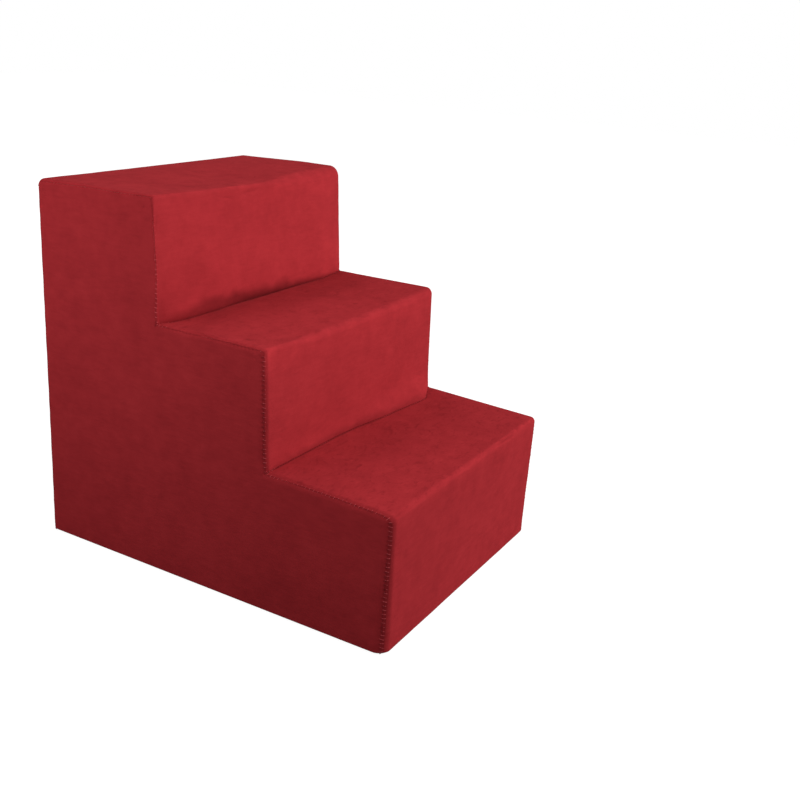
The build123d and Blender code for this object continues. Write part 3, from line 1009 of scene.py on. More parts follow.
def make_base_cloth():
    """Black woven cloth under the stairs."""
    cloth = Finish("black_base_cloth")
    weave = cloth.maths("MULTIPLY", cloth.bands(320.0, "X"), cloth.bands(320.0, "Y"))
    level = cloth.shares(weave, 0.6, cloth.noise(500.0, 3.0, 0.6), 0.4)
    colour = cloth.colours(level, [(0.1, (0.012, 0.012, 0.014)), (0.8, (0.05, 0.05, 0.055))])
    cloth.bump(weave, 0.0004, 0.8)
    return cloth.set(colour=colour, roughness=0.9, specular=0.3)


def make_grip_rubber():
    """Soft black rubber of the grip dots."""
    rubber = Finish("black_grip_rubber")
    grain = rubber.noise(1500.0, 2.0, 0.5)
    scuff = rubber.noise(140.0, 4.0, 0.6)
    colour = rubber.colours(scuff, [(0.3, (0.014, 0.014, 0.015)), (0.75, (0.04, 0.04, 0.042))])
    rubber.bump(grain, 0.0001, 0.6)
    return rubber.set(colour=colour, roughness=0.5, specular=0.45)


def make_zip_tape():
    """Twill tape of the zip, dyed to the cover."""
    tape = Finish("crimson_zip_tape")
    turned = tape.node(
        "ShaderNodeMapping",
        {"Vector": tape.place, "Rotation": (0.0, math.radians(32), 0.0)},
    ).outputs["Vector"]
    twill = tape.bands(420.0, "X", turned)
    level = tape.shares(twill, 0.6, tape.noise(1800.0, 2.0, 0.6), 0.4)
    colour = tape.colours(level, [(0.15, (0.12, 0.009, 0.012)), (0.85, (0.25, 0.02, 0.025))])
    tape.bump(twill, 0.0002, 0.8)
    return tape.set(colour=colour, roughness=0.8, specular=0.3, sheen=0.1)


def make_coil_nylon():
    """Dyed nylon of the zip's coil."""
    nylon = Finish("crimson_coil_nylon")
    haze = nylon.noise(900.0, 2.0, 0.5)
    colour = nylon.colours(haze, [(0.3, (0.19, 0.012, 0.017)), (0.7, (0.27, 0.022, 0.028))])
    nylon.bump(haze, 0.00005, 0.5)
    return nylon.set(colour=colour, roughness=0.35, specular=0.5)


def make_zip_metal():
    """Satin nickel of the slider, pull and stops, brushed and a little hazy."""
    metal = Finish("satin_nickel")
    brushed = metal.noise(700.0, 3.0, 0.6, metal.stretched(0.2, 1.0, 1.0))
    haze = metal.noise(220.0, 3.0, 0.6)
    level = metal.weigh([(brushed, 0.5), (haze, 0.6)])
    colour = metal.colours(
        metal.maths("ADD", level, 0.5), [(0.2, (0.40, 0.39, 0.37)), (0.8, (0.62, 0.61, 0.59))]
    )
    rough = metal.maths("ADD", metal.maths("MULTIPLY", haze, 0.25), 0.22)
    metal.bump(brushed, 0.00003, 0.6)
    return metal.set(colour=colour, roughness=rough, metal=1.0)


microsuede = make_microsuede()
seam_thread = make_thread()
foam_finish = make_foam()
base_cloth = make_base_cloth()
grip_rubber = make_grip_rubber()
tape_twill = make_zip_tape()
coil_nylon = make_coil_nylon()
zip_metal = make_zip_metal()


# Foam slabs
SLAB_BELOW_TREAD = 2.4
GLUE_LINE = 0.3
FOAM_ROLL = 2.5
FOAM_SPREAD = 8.0
FOAM_CORNER = 0.8
FOAM_FOOT_CORNER = 1.5
RECESS_CORNER = 0.4
RECESS_DEPTH = 1.4
RECESS_HALF = 14.2


def foam_slab(name, rows, node):
    """One slab of the foam core, cut a little smaller than the cover and soft at its edges."""
    outline = Outline(rows, 6.0, closed=True)
    half = SIDE - FOAM_GAP
    flat = half - FOAM_ROLL
    right = [
        (flat + FOAM_ROLL * math.sin(angle), FOAM_ROLL * (1 - math.cos(angle)))
        for angle in np.linspace(math.pi / 2, 0, 5)
    ]
    left = [(-x, inset) for x, inset in right[::-1]]
    columns = right + [(x, 0.0) for x in np.linspace(flat, -flat, 27)[1:-1]] + left
    rings = [
        np.column_stack([np.full(len(run), x), run])
        for x, run in ((x, outline.at(inset)) for x, inset in columns)
    ]
    count = len(rings[0])
    grid = spread_grid(np.arange(FRONT, BACK, FOAM_SPREAD), np.arange(0, TOP, FOAM_SPREAD))
    grid = grid[inside_outline(grid, outline.at(FOAM_ROLL + FOAM_SPREAD / 2))]
    plane, triangles, order = filled(rings[0][:, 1:], grid)
    body = np.concatenate(rings[1:-1])
    ends = [
        np.column_stack([np.full(len(plane), x), plane])
        for x in (columns[0][0], columns[-1][0])
    ]
    points = np.concatenate([body, *ends])
    near, far = len(body), len(body) + len(plane)
    faces = (triangles + near).tolist() + (triangles[:, ::-1] + far).tolist()

    def ring_point(k, j):
        j %= count
        if k == 0:
            return near + order[j]
        if k == len(rings) - 1:
            return far + order[j]
        return (k - 1) * count + j

    for k in range(len(rings) - 1):
        for j in range(count):
            faces.append([ring_point(k, j + 1), ring_point(k, j),
                          ring_point(k + 1, j), ring_point(k + 1, j + 1)])
    piece = add_piece(name, settle(points, cover=0.0), faces, foam_finish)
    dress(piece, "stairs", "foam", node)


# A slab ends a little below its tread, and the next one starts on it
slab_tops = (LOW_STEP[1] - SLAB_BELOW_TREAD, HIGH_STEP[1] - SLAB_BELOW_TREAD)
low, back = FOOT + FOAM_GAP, BACK - FOAM_GAP
foam_slab("foam_bottom", [
    (FRONT + FOAM_GAP, low, 1, 1, FOAM_FOOT_CORNER, 0),
    (FRONT + FOAM_GAP, slab_tops[0], 1, -1, LOW_NOSING - FOAM_GAP, 0),
    (back, slab_tops[0], -1, -1, FOAM_CORNER, 0),
    (back, ZIP_HEIGHT + RECESS_HALF, -1, 1, FOAM_CORNER, 0),
    (back - RECESS_DEPTH, ZIP_HEIGHT + RECESS_HALF, -1, 1, RECESS_CORNER, 0),
    (back - RECESS_DEPTH, ZIP_HEIGHT - RECESS_HALF, -1, -1, RECESS_CORNER, 0),
    (back, ZIP_HEIGHT - RECESS_HALF, -1, -1, FOAM_CORNER, 0),
    (back, low, -1, 1, FOAM_FOOT_CORNER, 0),
], "foam_bottom_slab")
foam_slab("foam_middle", [
    (LOW_STEP[0] + FOAM_GAP, slab_tops[0] + GLUE_LINE, 1, 1, FOAM_CORNER, 0),
    (LOW_STEP[0] + FOAM_GAP, slab_tops[1], 1, -1, MIDDLE_NOSING - FOAM_GAP, 0),
    (back, slab_tops[1], -1, -1, FOAM_CORNER, 0),
    (back, slab_tops[0] + GLUE_LINE, -1, 1, FOAM_CORNER, 0),
], "foam_middle_slab")
foam_slab("foam_top", [
    (HIGH_STEP[0] + FOAM_GAP, slab_tops[1] + GLUE_LINE, 1, 1, FOAM_CORNER, 0),
    (HIGH_STEP[0] + FOAM_GAP, TOP - FOAM_GAP, 1, -1, TOP_NOSING - FOAM_GAP, 0),
    (back, TOP - FOAM_GAP, -1, -1, REAR_TOP - FOAM_GAP, 0),
    (back, slab_tops[1] + GLUE_LINE, -1, 1, FOAM_CORNER, 0),
], "foam_top_slab")

# Cover strips, each a riser and its tread in one, between creases
wrap_section = full_section()
turned_in = CREASE_DEPTH * math.sqrt(0.5)
step_way = (0.0, -1.0, 1.0)


def crease_end(corner):
    """The last rows of a strip, where its tread goes into the crease under the next riser."""
    y, z = corner[0] - CREASE_SLIT, corner[1]
    return [(y, z, 1, -1, CREASE_LIP, 0), (y + turned_in, z - turned_in, 1, -1, 0, 0)]


def crease_start(corner):
    """The first rows of a strip, where its riser comes up out of the crease."""
    y, z = corner[0], corner[1] + CREASE_SLIT
    return [(y + turned_in, z - turned_in, 1, -1, 0, 0), (y, z, 1, -1, CREASE_LIP, 0)]


wrap_cloth("bottom_step_cloth", [
    (FRONT + FOOT_TURN, FOOT, 1, 0, 0, 0),
    (FRONT, FOOT, 1, 0, HEM, 0),
    (FRONT, LOW_STEP[1], 1, -1, LOW_NOSING, -1),
    *crease_end(LOW_STEP),
], wrap_section, step_way, ["bottom_step_panel"])
wrap_cloth("middle_step_cloth", [
    *crease_start(LOW_STEP),
    (LOW_STEP[0], HIGH_STEP[1], 1, -1, MIDDLE_NOSING, -1),
    *crease_end(HIGH_STEP),
], wrap_section, step_way, ["middle_step_panel"])
wrap_cloth("top_step_cloth", [
    *crease_start(HIGH_STEP),
    (HIGH_STEP[0], TOP, 1, -1, TOP_NOSING, -1),
    (BACK, TOP, -1, -1, REAR_TOP, -1),
    (BACK, REAR_SEAM + 0.1, -1, 0, HEM, 0),
    (BACK - HEM_TURN, REAR_SEAM + 0.02, -1, 0, 0, 0),
], wrap_section, step_way, ["top_step_panel"])

# Back of the cover
back_way = (0.0, 1.0, 0.0)
zip_top, zip_foot = ZIP_HEIGHT + ZIP_OPENING / 2, ZIP_HEIGHT - ZIP_OPENING / 2
wrap_cloth("back_upper_cloth", [
    (BACK - HEM_TURN, REAR_SEAM - 0.02, -1, 0, 0, 0),
    (BACK, REAR_SEAM - 0.1, -1, 0, HEM, 0),
    (BACK, zip_top, -1, 0, HEM, 0),
    (BACK - HEM_TURN, zip_top, -1, 0, 0, 0),
], wrap_section, back_way, ["back_upper_panel"],
    step=1.6)
wrap_cloth("back_lower_cloth", [
    (BACK - HEM_TURN, zip_foot, -1, 0, 0, 0),
    (BACK, zip_foot, -1, 0, HEM, 0),
    (BACK, FOOT, -1, 0, HEM, 0),
    (BACK - FOOT_TURN, FOOT, -1, 0, 0, 0),
], wrap_section, back_way, ["back_lower_panel"], step=1.4)
tab_columns = np.linspace(SIDE - EDGE_ROLL, ZIP_TAB + HEM, 9)
tab_turn = [
    (ZIP_TAB + HEM * (1 - math.sin(angle)), -HEM * (1 - math.cos(angle)))
    for angle in np.linspace(0, math.pi / 2, 4)[1:]
]
for side, name in ((-1, "zip_tab_left"), (1, "zip_tab_right")):
    section = edge_section(side) + [(side * x, 0.0, 0.0) for x in tab_columns]
    section += [(side * x, -inset, 0.0) for x, inset in tab_turn]
    wrap_cloth(name, [
        (BACK, zip_top - ZIP_TAB_LAP, -1, 0, 0, 0),
        (BACK, zip_foot + ZIP_TAB_LAP, -1, 0, 0, 0),
    ], section, back_way, ["zip_end_tabs"], step=1.0, hem_fade=False)

side_cloth("left_side_cloth", -1, "left_side_panel")
side_cloth("right_side_cloth", 1, "right_side_panel")


# Non-slip base: a cloth plate with rounded corners and rolled edges, and dots moulded on it
BASE_EDGE_X = 163.2
BASE_EDGE_Y = 218.75
BASE_LOW = 0.8
BASE_HIGH = 2.4
BASE_CORNER = 3.0
BASE_SEAM = 4.0
BASE_SPREAD = 12.0
DOT_RADIUS, DOT_HEIGHT, DOT_PITCH = 2.5, 0.8, 24.0


def plate_ring(inset, height):
    """A ring round the plate, drawn in by inset."""
    radius = max(BASE_CORNER - inset, 0.4)
    half_x, half_y = BASE_EDGE_X - inset - radius, BASE_EDGE_Y - inset - radius
    ring = []
    for start, x, y in ((0, 1, 1), (1, -1, 1), (2, -1, -1), (3, 1, -1)):
        for angle in np.linspace(start, start + 1, 5) * math.pi / 2:
            ring.append((x * half_x + radius * math.cos(angle),
                         y * half_y + radius * math.sin(angle), height))
    return ring


def base_plate():
    """The base cloth, with points all over so that it can show a slight waviness."""
    half = (BASE_HIGH - BASE_LOW) / 2
    rings = []
    for angle in np.linspace(-math.pi / 2, math.pi / 2, 7):
        height = BASE_LOW + half * (1 + math.sin(angle))
        rings.append(plate_ring(half * (1 - math.cos(angle)), height))
    count = len(rings[0])
    points = [point for ring in rings for point in ring]
    faces = []
    for k in range(len(rings) - 1):
        for j in range(count):
            a, b = k * count + j, k * count + (j + 1) % count
            faces.append([a, b, b + count, a + count])
    grid = spread_grid(np.arange(-156, 157, BASE_SPREAD), np.arange(-210, 211, BASE_SPREAD))
    for start, turned in ((0, -1), ((len(rings) - 1) * count, 1)):
        rim = np.array(points[start:start + count])
        plane, triangles, order = filled(rim[:, :2], grid)
        number = {}
        for source, k in order.items():
            number[k] = start + source
            if source >= count:
                number[k] = len(points)
                points.append((*plane[k], rim[0, 2]))
        for triangle in triangles:
            faces.append([number[v] for v in triangle[::turned]])
    piece = add_piece("base_cloth", settle(points), faces, base_cloth)
    dress(piece, "stairs", "base_cloth", "non_slip_base")


base_plate()


# Rules, as Geometry Nodes, for what is sewn, moulded and wound in rows
class Rule(NodeWork):
    """A tree of Geometry Nodes with named inputs."""

    KINDS = {float: "NodeSocketFloat", int: "NodeSocketInt", type(None): "NodeSocketMaterial"}

    def __init__(self, name, sizes):
        super().__init__(bpy.data.node_groups.new(name, "GeometryNodeTree"))
        sockets = self.tree.interface
        sockets.new_socket("Geometry", in_out="OUTPUT", socket_type="NodeSocketGeometry")
        sockets.new_socket("Geometry", in_out="INPUT", socket_type="NodeSocketGeometry")
        self.identifier = {}
        for label, value in sizes.items():
            socket = sockets.new_socket(label, in_out="INPUT", socket_type=self.KINDS[type(value)])
            if value is not None:
                socket.default_value = value
            self.identifier[label] = socket.identifier
        self.given = self.tree.nodes.new("NodeGroupInput").outputs

    def vector(self, x, y, z):
        return self.node("ShaderNodeCombineXYZ", {"X": x, "Y": y, "Z": z}).outputs[0]

    def place(self):
        """The x, y and z of each point."""
        here = self.node("GeometryNodeInputPosition").outputs[0]
        return self.node("ShaderNodeSeparateXYZ", {0: here}).outputs

    def ring(self, width):
        """The round section of a thread or a wire."""
        return self.node("GeometryNodeCurvePrimitiveCircle", {
            "Resolution": 5, "Radius": self.maths("MULTIPLY", width, 0.5),
        }).outputs[0]

    def swept(self, curve, width):
        """A thread or a wire of a width along a curve."""
        return self.node("GeometryNodeCurveToMesh", {
            "Curve": curve, "Profile Curve": self.ring(width), "Fill Caps": True,
        }).outputs[0]

    def attribute(self, name, kind):
        node = self.node("GeometryNodeInputNamedAttribute", {"Name": name}, data_type=kind)
        return node.outputs["Attribute"]

    def chance(self, least, most, shift):
        """A random number for each point, from the rule's seed."""
        seed = self.maths("ADD", self.given["Seed"], float(shift))
        node = self.node("FunctionNodeRandomValue", {2: least, 3: most, 8: seed}, data_type="FLOAT")
        return node.outputs[1]

    def finish(self, geometry, material):
        """Ends the tree: real geometry, smooth, with its material."""
        real = self.node("GeometryNodeRealizeInstances", {"Geometry": geometry}).outputs[0]
        smooth_faces = self.node("GeometryNodeSetShadeSmooth", {"Geometry": real}).outputs[0]
        dyed = self.node(
            "GeometryNodeSetMaterial", {"Geometry": smooth_faces, "Material": material}
        ).outputs[0]
        self.tree.links.new(dyed, self.tree.nodes.new("NodeGroupOutput").inputs[0])


def thread_on_points(rule):
    """Instances of one small arched length of thread on points that carry the seam's direction
    (along), the way they face (face) and a size."""
    given = rule.given
    half = rule.maths("MULTIPLY", given["Length"], 0.5)
    back = rule.maths("MULTIPLY", half, -1.0)
    sink = rule.maths("MULTIPLY", given["Thread Width"], -0.45)
    crest = rule.maths("MULTIPLY", given["Loft"], 2.0)
    arch = rule.node("GeometryNodeCurveQuadraticBezier", {
        "Resolution": 5, "Start": rule.vector(back, 0.0, sink),
        "Middle": rule.vector(0.0, 0.0, crest), "End": rule.vector(half, 0.0, sink),
    }).outputs[0]
    rung = rule.swept(arch, given["Thread Width"])
    lie = rule.node("FunctionNodeAxesToRotation", {
        "Primary Axis": rule.attribute("face", "FLOAT_VECTOR"),
        "Secondary Axis": rule.attribute("along", "FLOAT_VECTOR"),
    }, primary_axis="Z", secondary_axis="X").outputs[0]
    uneven = given["Unevenness"]
    wander = rule.maths("MULTIPLY", rule.chance(-1.0, 1.0, 1), uneven)
    turn = rule.node("FunctionNodeEulerToRotation", {
        "Euler": rule.vector(0.0, 0.0, rule.maths("ADD", given["Slant"], wander)),
    }).outputs[0]
    lie = rule.node("FunctionNodeRotateRotation", {"Rotation": lie, "Rotate By": turn},
                    rotation_space="LOCAL").outputs[0]
    spread = rule.maths("MULTIPLY", rule.chance(-1.0, 1.0, 2), uneven)
    length = rule.maths("MULTIPLY", rule.attribute("size", "FLOAT"),
                        rule.maths("ADD", spread, 1.0))
    return rule.node("GeometryNodeInstanceOnPoints", {
        "Points": given["Geometry"], "Instance": rung, "Rotation": lie,
        "Scale": rule.vector(length, 1.0, 1.0),
    }).outputs[0]


def dots_on_points(rule):
    """A low rounded dot on each point, cut off flat below."""
    given = rule.given
    foot = 0.72
    ball = rule.node("GeometryNodeMeshUVSphere", {"Segments": 14, "Rings": 8, "Radius": 1.0})
    x, y, z = rule.place()
    flattened = rule.node("GeometryNodeSetPosition", {
        "Geometry": ball.outputs["Mesh"],
        "Position": rule.vector(
            rule.maths("MULTIPLY", x, given["Radius"]),
            rule.maths("MULTIPLY", y, given["Radius"]),
            rule.maths("MULTIPLY", rule.maths("MAXIMUM", z, -foot),
                       rule.maths("DIVIDE", given["Height"], foot)),
        ),
    }).outputs[0]
    return rule.node("GeometryNodeInstanceOnPoints", {
        "Points": given["Geometry"], "Instance": flattened,
    }).outputs[0]


def coil_on_points(rule):
    """A flattened coil of wire along x, its middle on each point."""
    given = rule.given
    winding = rule.node("GeometryNodeCurveSpiral", {
        "Resolution": 10, "Rotations": given["Turns"], "Start Radius": 1.0, "End Radius": 1.0,
        "Height": given["Span"],
    }).outputs[0]
    x, y, z = rule.place()
    laid = rule.node("GeometryNodeSetPosition", {
        "Geometry": winding,
        "Position": rule.vector(
            rule.maths("SUBTRACT", z, rule.maths("MULTIPLY", given["Span"], 0.5)),
            rule.maths("MULTIPLY", x, given["Thickness"]),
            rule.maths("MULTIPLY", y, given["Reach"]),
        ),
    }).outputs[0]
    return rule.node("GeometryNodeInstanceOnPoints", {
        "Points": given["Geometry"], "Instance": rule.swept(laid, given["Wire"]),
    }).outputs[0]


stitch_rule = Rule("sewn_stitches", {
    "Length": 0.004, "Thread Width": 0.0007, "Loft": 0.0004, "Slant": 0.0, "Unevenness": 0.12,
    "Seed": 1, "Thread": None,
})
stitch_rule.finish(thread_on_points(stitch_rule), stitch_rule.given["Thread"])
dot_rule = Rule("moulded_dots", {
    "Radius": 0.0025, "Height": 0.0008, "Seed": 1, "Rubber": None,
})
dot_rule.finish(dots_on_points(dot_rule), dot_rule.given["Rubber"])
coil_rule = Rule("wound_coil", {
    "Span": 0.2952, "Turns": 196.0, "Reach": 0.0014, "Thickness": 0.0010, "Wire": 0.0006,
    "Seed": 1, "Nylon": None,
})
coil_rule.finish(coil_on_points(coil_rule), coil_rule.given["Nylon"])


def grow(name, rule, points, values, vectors=None, sizes=None):
    """A plain mesh piece that a rule makes on points in millimetres."""
    seeds = bpy.data.meshes.new(name + "_points")
    seeds.from_pydata((np.asarray(points, float) * MM).tolist(), [], [])
    for label, values_of in (vectors or {}).items():
        column = seeds.attributes.new(label, "FLOAT_VECTOR", "POINT")
        column.data.foreach_set("vector", np.asarray(values_of, float).ravel())
    if sizes is not None:
        column = seeds.attributes.new("size", "FLOAT", "POINT")
        column.data.foreach_set("value", np.asarray(sizes, float))
    holder = put_in_scene(name + "_points", seeds)
    modifier = holder.modifiers.new("rule", "NODES")
    modifier.node_group = rule.tree
    for label, value in values.items():
        modifier[rule.identifier[label]] = value
    bpy.context.view_layer.update()
    ready = holder.evaluated_get(bpy.context.evaluated_depsgraph_get())
    mesh = bpy.data.meshes.new_from_object(ready)
    holder.modifiers.remove(modifier)
    bpy.data.objects.remove(holder)
    bpy.data.meshes.remove(seeds)
    for label in ("along", "face", "size"):
        if label in mesh.attributes:
            mesh.attributes.remove(mesh.attributes[label])
    return put_in_scene(name, mesh)


def sew(name, places, along, face, nodes, stretch=1.0, **values):
    """A row of stitches at places, which follow the cover as it has settled."""
    places, along = np.asarray(places, float), np.asarray(along, float)
    face = np.broadcast_to(np.asarray(face, float), places.shape)
    over = np.cross(face, along)
    ahead = settle(places + along * 0.5) - settle(places - along * 0.5)
    aside = settle(places + over * 0.5) - settle(places - over * 0.5)
    turned = unit(np.cross(ahead, aside))
    face = turned * np.sign((turned * face).sum(axis=1))[:, None]
    along = unit(ahead)
    places = settle(places)
    sizes = np.broadcast_to(np.asarray(stretch, float), (len(places),))
    settings = {"Thread": seam_thread, **{k.replace("_", " "): v for k, v in values.items()}}
    piece = grow(name, stitch_rule, places, settings, {"along": along, "face": face}, sizes)
    dress(piece, "stairs", "thread", *nodes)


def at_steps(steps, length, places):
    """Places at distances along a run whose own places lie at lengths."""
    return np.column_stack([np.interp(steps, length, column) for column in places.T])


# Ladder stitches over the side seams
rung_at = (np.arange(int(seam_length[-1] / SEAM_PITCH)) + 0.5) * SEAM_PITCH
rung_places = at_steps(rung_at, seam_length, seam_points)
rung_way = unit(at_steps(rung_at, seam_length, seam_way))
rung = seam_state(rung_at, 2)
sunk = 0.15 + 0.5 * seam_state(rung_at, 1) + 0.9 * (1 - smooth(0.48, 0.62, rung))
sunk += 0.5 * smooth(-0.2, 0.5, ruffle(np.column_stack([rung_at] * 3), 7.3, 51)) * (
    1 - 0.6 * smooth(0.7, 0.9, rung))
for side, name, node in ((-1, "left_side_stitches", "left_side_thread"),
                         (1, "right_side_stitches", "right_side_thread")):
    places = np.column_stack([side * (SIDE - sunk), rung_places])
    along = np.column_stack([np.zeros(len(rung_at)), rung_way])
    sew(name, places, along, (side, 0.0, 0.0), [node], rung, Length=0.0040,
        Thread_Width=0.0007, Loft=0.0005, Slant=math.radians(90 + 14 * side), Unevenness=0.16,
        Seed=4 + side)

# Small stitches that close the creases and the rear top seam
across = np.arange(-160.0, 160.1, CREASE_PITCH)
for name, node, y, z, face in (
    ("lower_crease_stitches", "lower_crease_thread", *LOW_STEP, (0, -1, 1)),
    ("upper_crease_stitches", "upper_crease_thread", *HIGH_STEP, (0, -1, 1)),
    ("rear_top_stitches", "rear_top_thread", BACK, REAR_SEAM, (0, 1, 0)),
):
    face = unit(np.array(face, float))
    places = np.array([(x, y, z) for x in across]) - face * (0.5 if y < BACK else 0.1)
    sew(name, places, np.tile((1.0, 0.0, 0.0), (len(across), 1)), face, [node], Length=0.0026,
        Thread_Width=0.0006, Loft=0.0003, Slant=math.radians(70), Unevenness=0.15, Seed=11)

# Topstitching beside the zip, and the seam under the base's edge
beside_zip = np.arange(-160.6, 160.7, ZIP_SEAM_PITCH)
for name, node, z in (("zip_upper_stitches", "zip_upper_thread", ZIP_HEIGHT + ZIP_SEAM),
                      ("zip_lower_stitches", "zip_lower_thread", ZIP_HEIGHT - ZIP_SEAM)):
    places = np.array([(x, BACK + 0.02, z) for x in beside_zip])
    sew(name, places, np.tile((1.0, 0.0, 0.0), (len(beside_zip), 1)), (0, 1, 0), [node],
        Length=0.0025, Thread_Width=0.0006, Loft=0.0004, Unevenness=0.05, Seed=21)
ring = np.array(plate_ring(BASE_SEAM, BASE_LOW))
ring = np.concatenate([ring, ring[:1]])
ring_steps = np.concatenate([[0.0], np.cumsum(np.linalg.norm(np.diff(ring, axis=0), axis=1))])
hem_at = np.arange(BASE_SEAM_PITCH / 2, ring_steps[-1], BASE_SEAM_PITCH)
hem_places = at_steps(hem_at, ring_steps, ring)
hem_way = unit(np.roll(hem_places, -1, axis=0) - np.roll(hem_places, 1, axis=0))
sew("base_stitches", hem_places, hem_way, (0, 0, -1), ["base_thread"],
    Length=0.0030, Thread_Width=0.0005, Loft=0.0002, Unevenness=0.06, Seed=31)

# Grip dots
dot_places = np.array([(DOT_PITCH * i, DOT_PITCH * j, BASE_LOW + 0.02)
                       for i in range(-6, 7) for j in range(-8, 9)])
grip_dots = grow("grip_dots", dot_rule, dot_places, {
    "Radius": DOT_RADIUS * MM, "Height": DOT_HEIGHT * MM, "Rubber": grip_rubber,
})
dress(grip_dots, "stairs", "base_cloth", "non_slip_base")


# Zip: two twill tapes, a wound coil on each, and the metal parts
def zip_tape(name, side, node):
    """A tape, a little thinner at its edges and ends, one above the other."""
    width = TAPE_FAR - TAPE_NEAR
    xs = np.linspace(-TAPE_HALF, TAPE_HALF, 161)
    zs = np.array([0, 0.3, 0.8, 1.6, 2.6, 3.6, 5.0, 7.0, 9.0, 10.6, 11.6, 12.2, 12.7, width])
    x, z = np.meshgrid(xs, zs, indexing="ij")
    flat = np.column_stack([x.ravel(), np.zeros(x.size), z.ravel()])
    wave = 0.05 * ruffle(flat, 18.0, 41) - 0.06
    edge = np.minimum(flat[:, 2], width - flat[:, 2])
    end = np.minimum(TAPE_HALF - flat[:, 0], TAPE_HALF + flat[:, 0])
    thin = 0.12 * (1 - smooth(0, 0.5, np.minimum(edge, end)))
    outer = np.column_stack([
        flat[:, 0], TAPE_FACE + wave - thin, ZIP_HEIGHT + side * (TAPE_NEAR + flat[:, 2])
    ])
    inner = outer.copy()
    inner[:, 1] = TAPE_FACE - TAPE_THICKNESS + 0.08 + thin + wave * 0.3
    inner[:, 2] -= side * 0.16 * (1 - smooth(0, 0.8, flat[:, 2]))
    piece = add_piece(name, np.concatenate([outer, inner]), grid_faces(len(xs), len(zs)),
                      tape_twill)
    dress(piece, "stairs", "zip_tape", node)


for side, tape, coil in ((1, "zip_upper_tape", "zip_upper_coil"),
                         (-1, "zip_lower_tape", "zip_lower_coil")):
    zip_tape(tape + "_cloth", side, tape)
    height = ZIP_HEIGHT + side * COIL_MIDDLE
    wound = grow(coil + "_wire", coil_rule, [(side * COIL_PITCH / 4, COIL_FACE, height)], {
        "Span": (2 * COIL_HALF - 1.2) * MM, "Turns": 2 * COIL_HALF / COIL_PITCH - 1,
        "Reach": 0.00128, "Thickness": 0.00070, "Wire": 0.00058, "Nylon": coil_nylon,
    })
    dress(wound, "stairs", "zip_coil", coil)


def bevelled_copy(node, name, body, width):
    """A copy of a metal node with its doubles merged and its edges bevelled."""
    piece = put_in_scene(name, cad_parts[node].data.copy())
    mesh = bmesh.new()
    mesh.from_mesh(piece.data)
    bmesh.ops.remove_doubles(mesh, verts=mesh.verts, dist=1e-6)
    bmesh.ops.dissolve_limit(mesh, angle_limit=math.radians(2), verts=mesh.verts, edges=mesh.edges)
    sharp = [edge for edge in mesh.edges
             if len(edge.link_faces) == 2 and edge.calc_face_angle() > math.radians(25)]
    bmesh.ops.bevel(mesh, geom=sharp, offset=width * MM, segments=2, profile=0.5,
                    affect="EDGES", clamp_overlap=True)
    bmesh.ops.recalc_face_normals(mesh, faces=mesh.faces)
    mesh.to_mesh(piece.data)
    mesh.free()
    piece.data.materials.clear()
    piece.data.materials.append(zip_metal)
    piece.data.polygons.foreach_set("use_smooth", [False] * len(piece.data.polygons))
    dress(piece, body, "zip_metal", node)


bevelled_copy("zip_slider", "zip_slider_metal", "slider", 0.16)
bevelled_copy("zip_pull", "zip_pull_metal", "pull", 0.22)
bevelled_copy("zip_top_stops", "zip_top_stop_crimps", "stairs", 0.15)
bevelled_copy("zip_bottom_stop", "zip_bottom_stop_crimp", "stairs", 0.15)


# Camera: sensor in mm, picture width and focal length in pixels
SENSOR = 36.0
PICTURE_WIDTH = 800
FOCAL_LENGTH = 1043.39


def place_camera():
    """The camera at the photograph's place."""
    data = bpy.data.cameras.new("camera")
    data.sensor_width = SENSOR
    data.lens = SENSOR * FOCAL_LENGTH / PICTURE_WIDTH
    data.clip_start = 0.05
    data.clip_end = 50.0
    camera = put_in_scene("camera", data)
    right = (0.498899, -0.864119, 0.066313)
    up = (0.265012, 0.22496, 0.937636)
    behind = (-0.825147, -0.450213, 0.341234)
    turned = Matrix([right, up, behind]).transposed()
    camera.matrix_world = Matrix.Translation((-0.9133, -0.6267, 0.5712)) @ turned.to_4x4()
    bpy.context.scene.camera = camera


def add_lamp(name, place, size, power):
    """A square soft lamp at a place, aimed at the middle of the stairs."""
    data = bpy.data.lights.new(name, "AREA")
    data.shape = "SQUARE"
    data.size = size
    data.energy = power
    lamp = put_in_scene(name, data)
    lamp.visible_camera = False
    away = Vector(place) - Vector((0, 0, 0.2))
    turned = away.to_track_quat("Z", "Y").to_matrix().to_4x4()
    lamp.matrix_world = Matrix.Translation(place) @ turned


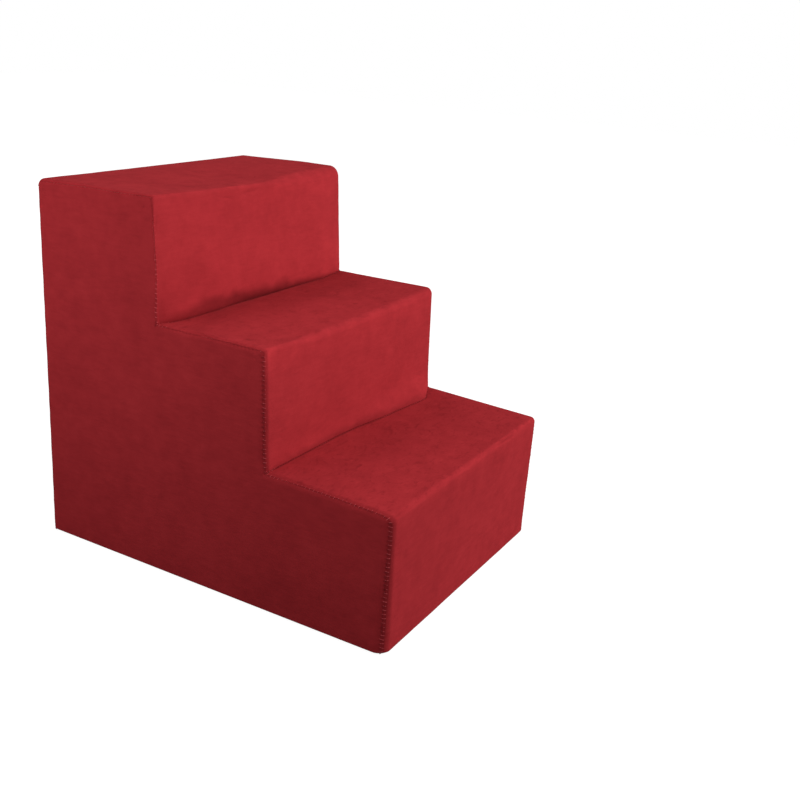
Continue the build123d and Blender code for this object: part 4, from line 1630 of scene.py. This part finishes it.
def pale_ground():
    """A pale floor that is white to the camera and keeps the object's soft shadow."""
    floor = Finish("pale_floor")
    dull = floor.colours(floor.noise(40.0), [(0.3, (0.36, 0.36, 0.36)), (0.7, (0.40, 0.40, 0.40))])
    floor.set(colour=dull, roughness=0.9, specular=0.1)
    away = floor.node("ShaderNodeVectorMath", {0: floor.place}, operation="LENGTH").outputs["Value"]
    glow = floor.node("ShaderNodeEmission", {
        "Color": (1, 1, 1, 1), "Strength": floor.ranged(away, 0.5, 1.6, 0.90, 1.0),
    }).outputs[0]
    shaded = floor.node("ShaderNodeBsdfDiffuse", {"Color": (0.30, 0.30, 0.30, 1)}).outputs[0]
    white = floor.node("ShaderNodeAddShader", {0: glow, 1: shaded}).outputs[0]
    floor.white_where_seen(floor.shader.outputs[0], white, "Material Output")
    mesh = bpy.data.meshes.new("floor")
    reach = 6.0
    mesh.from_pydata(
        [(-reach, -reach, 0), (reach, -reach, 0), (reach, reach, 0), (-reach, reach, 0)],
        [], [[0, 1, 2, 3]],
    )
    mesh.materials.append(floor.material)
    put_in_scene("floor", mesh)


def light_the_room():
    """A dim room, white to the camera, with soft lamps round the stairs."""
    world = bpy.data.worlds.new("studio")
    bpy.context.scene.world = world
    world.use_nodes = True
    room = NodeWork(world.node_tree)
    dim, white = (
        room.node("ShaderNodeBackground", {"Color": (1, 1, 1, 1), "Strength": strength}).outputs[0]
        for strength in (0.06, 1.0)
    )
    room.white_where_seen(dim, white, "World Output")
    for name, place, size, power in (
        ("right_lamp", (2.089, -2.089, 0.721), 1.2, 70.2),
        ("high_right_lamp", (0.545, -0.545, 1.119), 0.5, 2.05),
        ("high_front_lamp", (0, -0.849, 1.049), 0.5, 1.15),
        ("front_left_lamp", (-0.501, -0.289, 0.889), 0.4, 1.94),
        ("left_lamp", (-0.588, 0.274, 0.462), 0.3, 1.21),
        ("high_rear_lamp", (0.344, 0.596, 1.183), 0.5, 3.53),
        ("back_lamp", (0.52, 2.91, 0.40), 0.7, 36.0),
    ):
        add_lamp(name, place, size, power)


place_camera()
pale_ground()
light_the_room()
bpy.context.scene.view_settings.view_transform = "Standard"
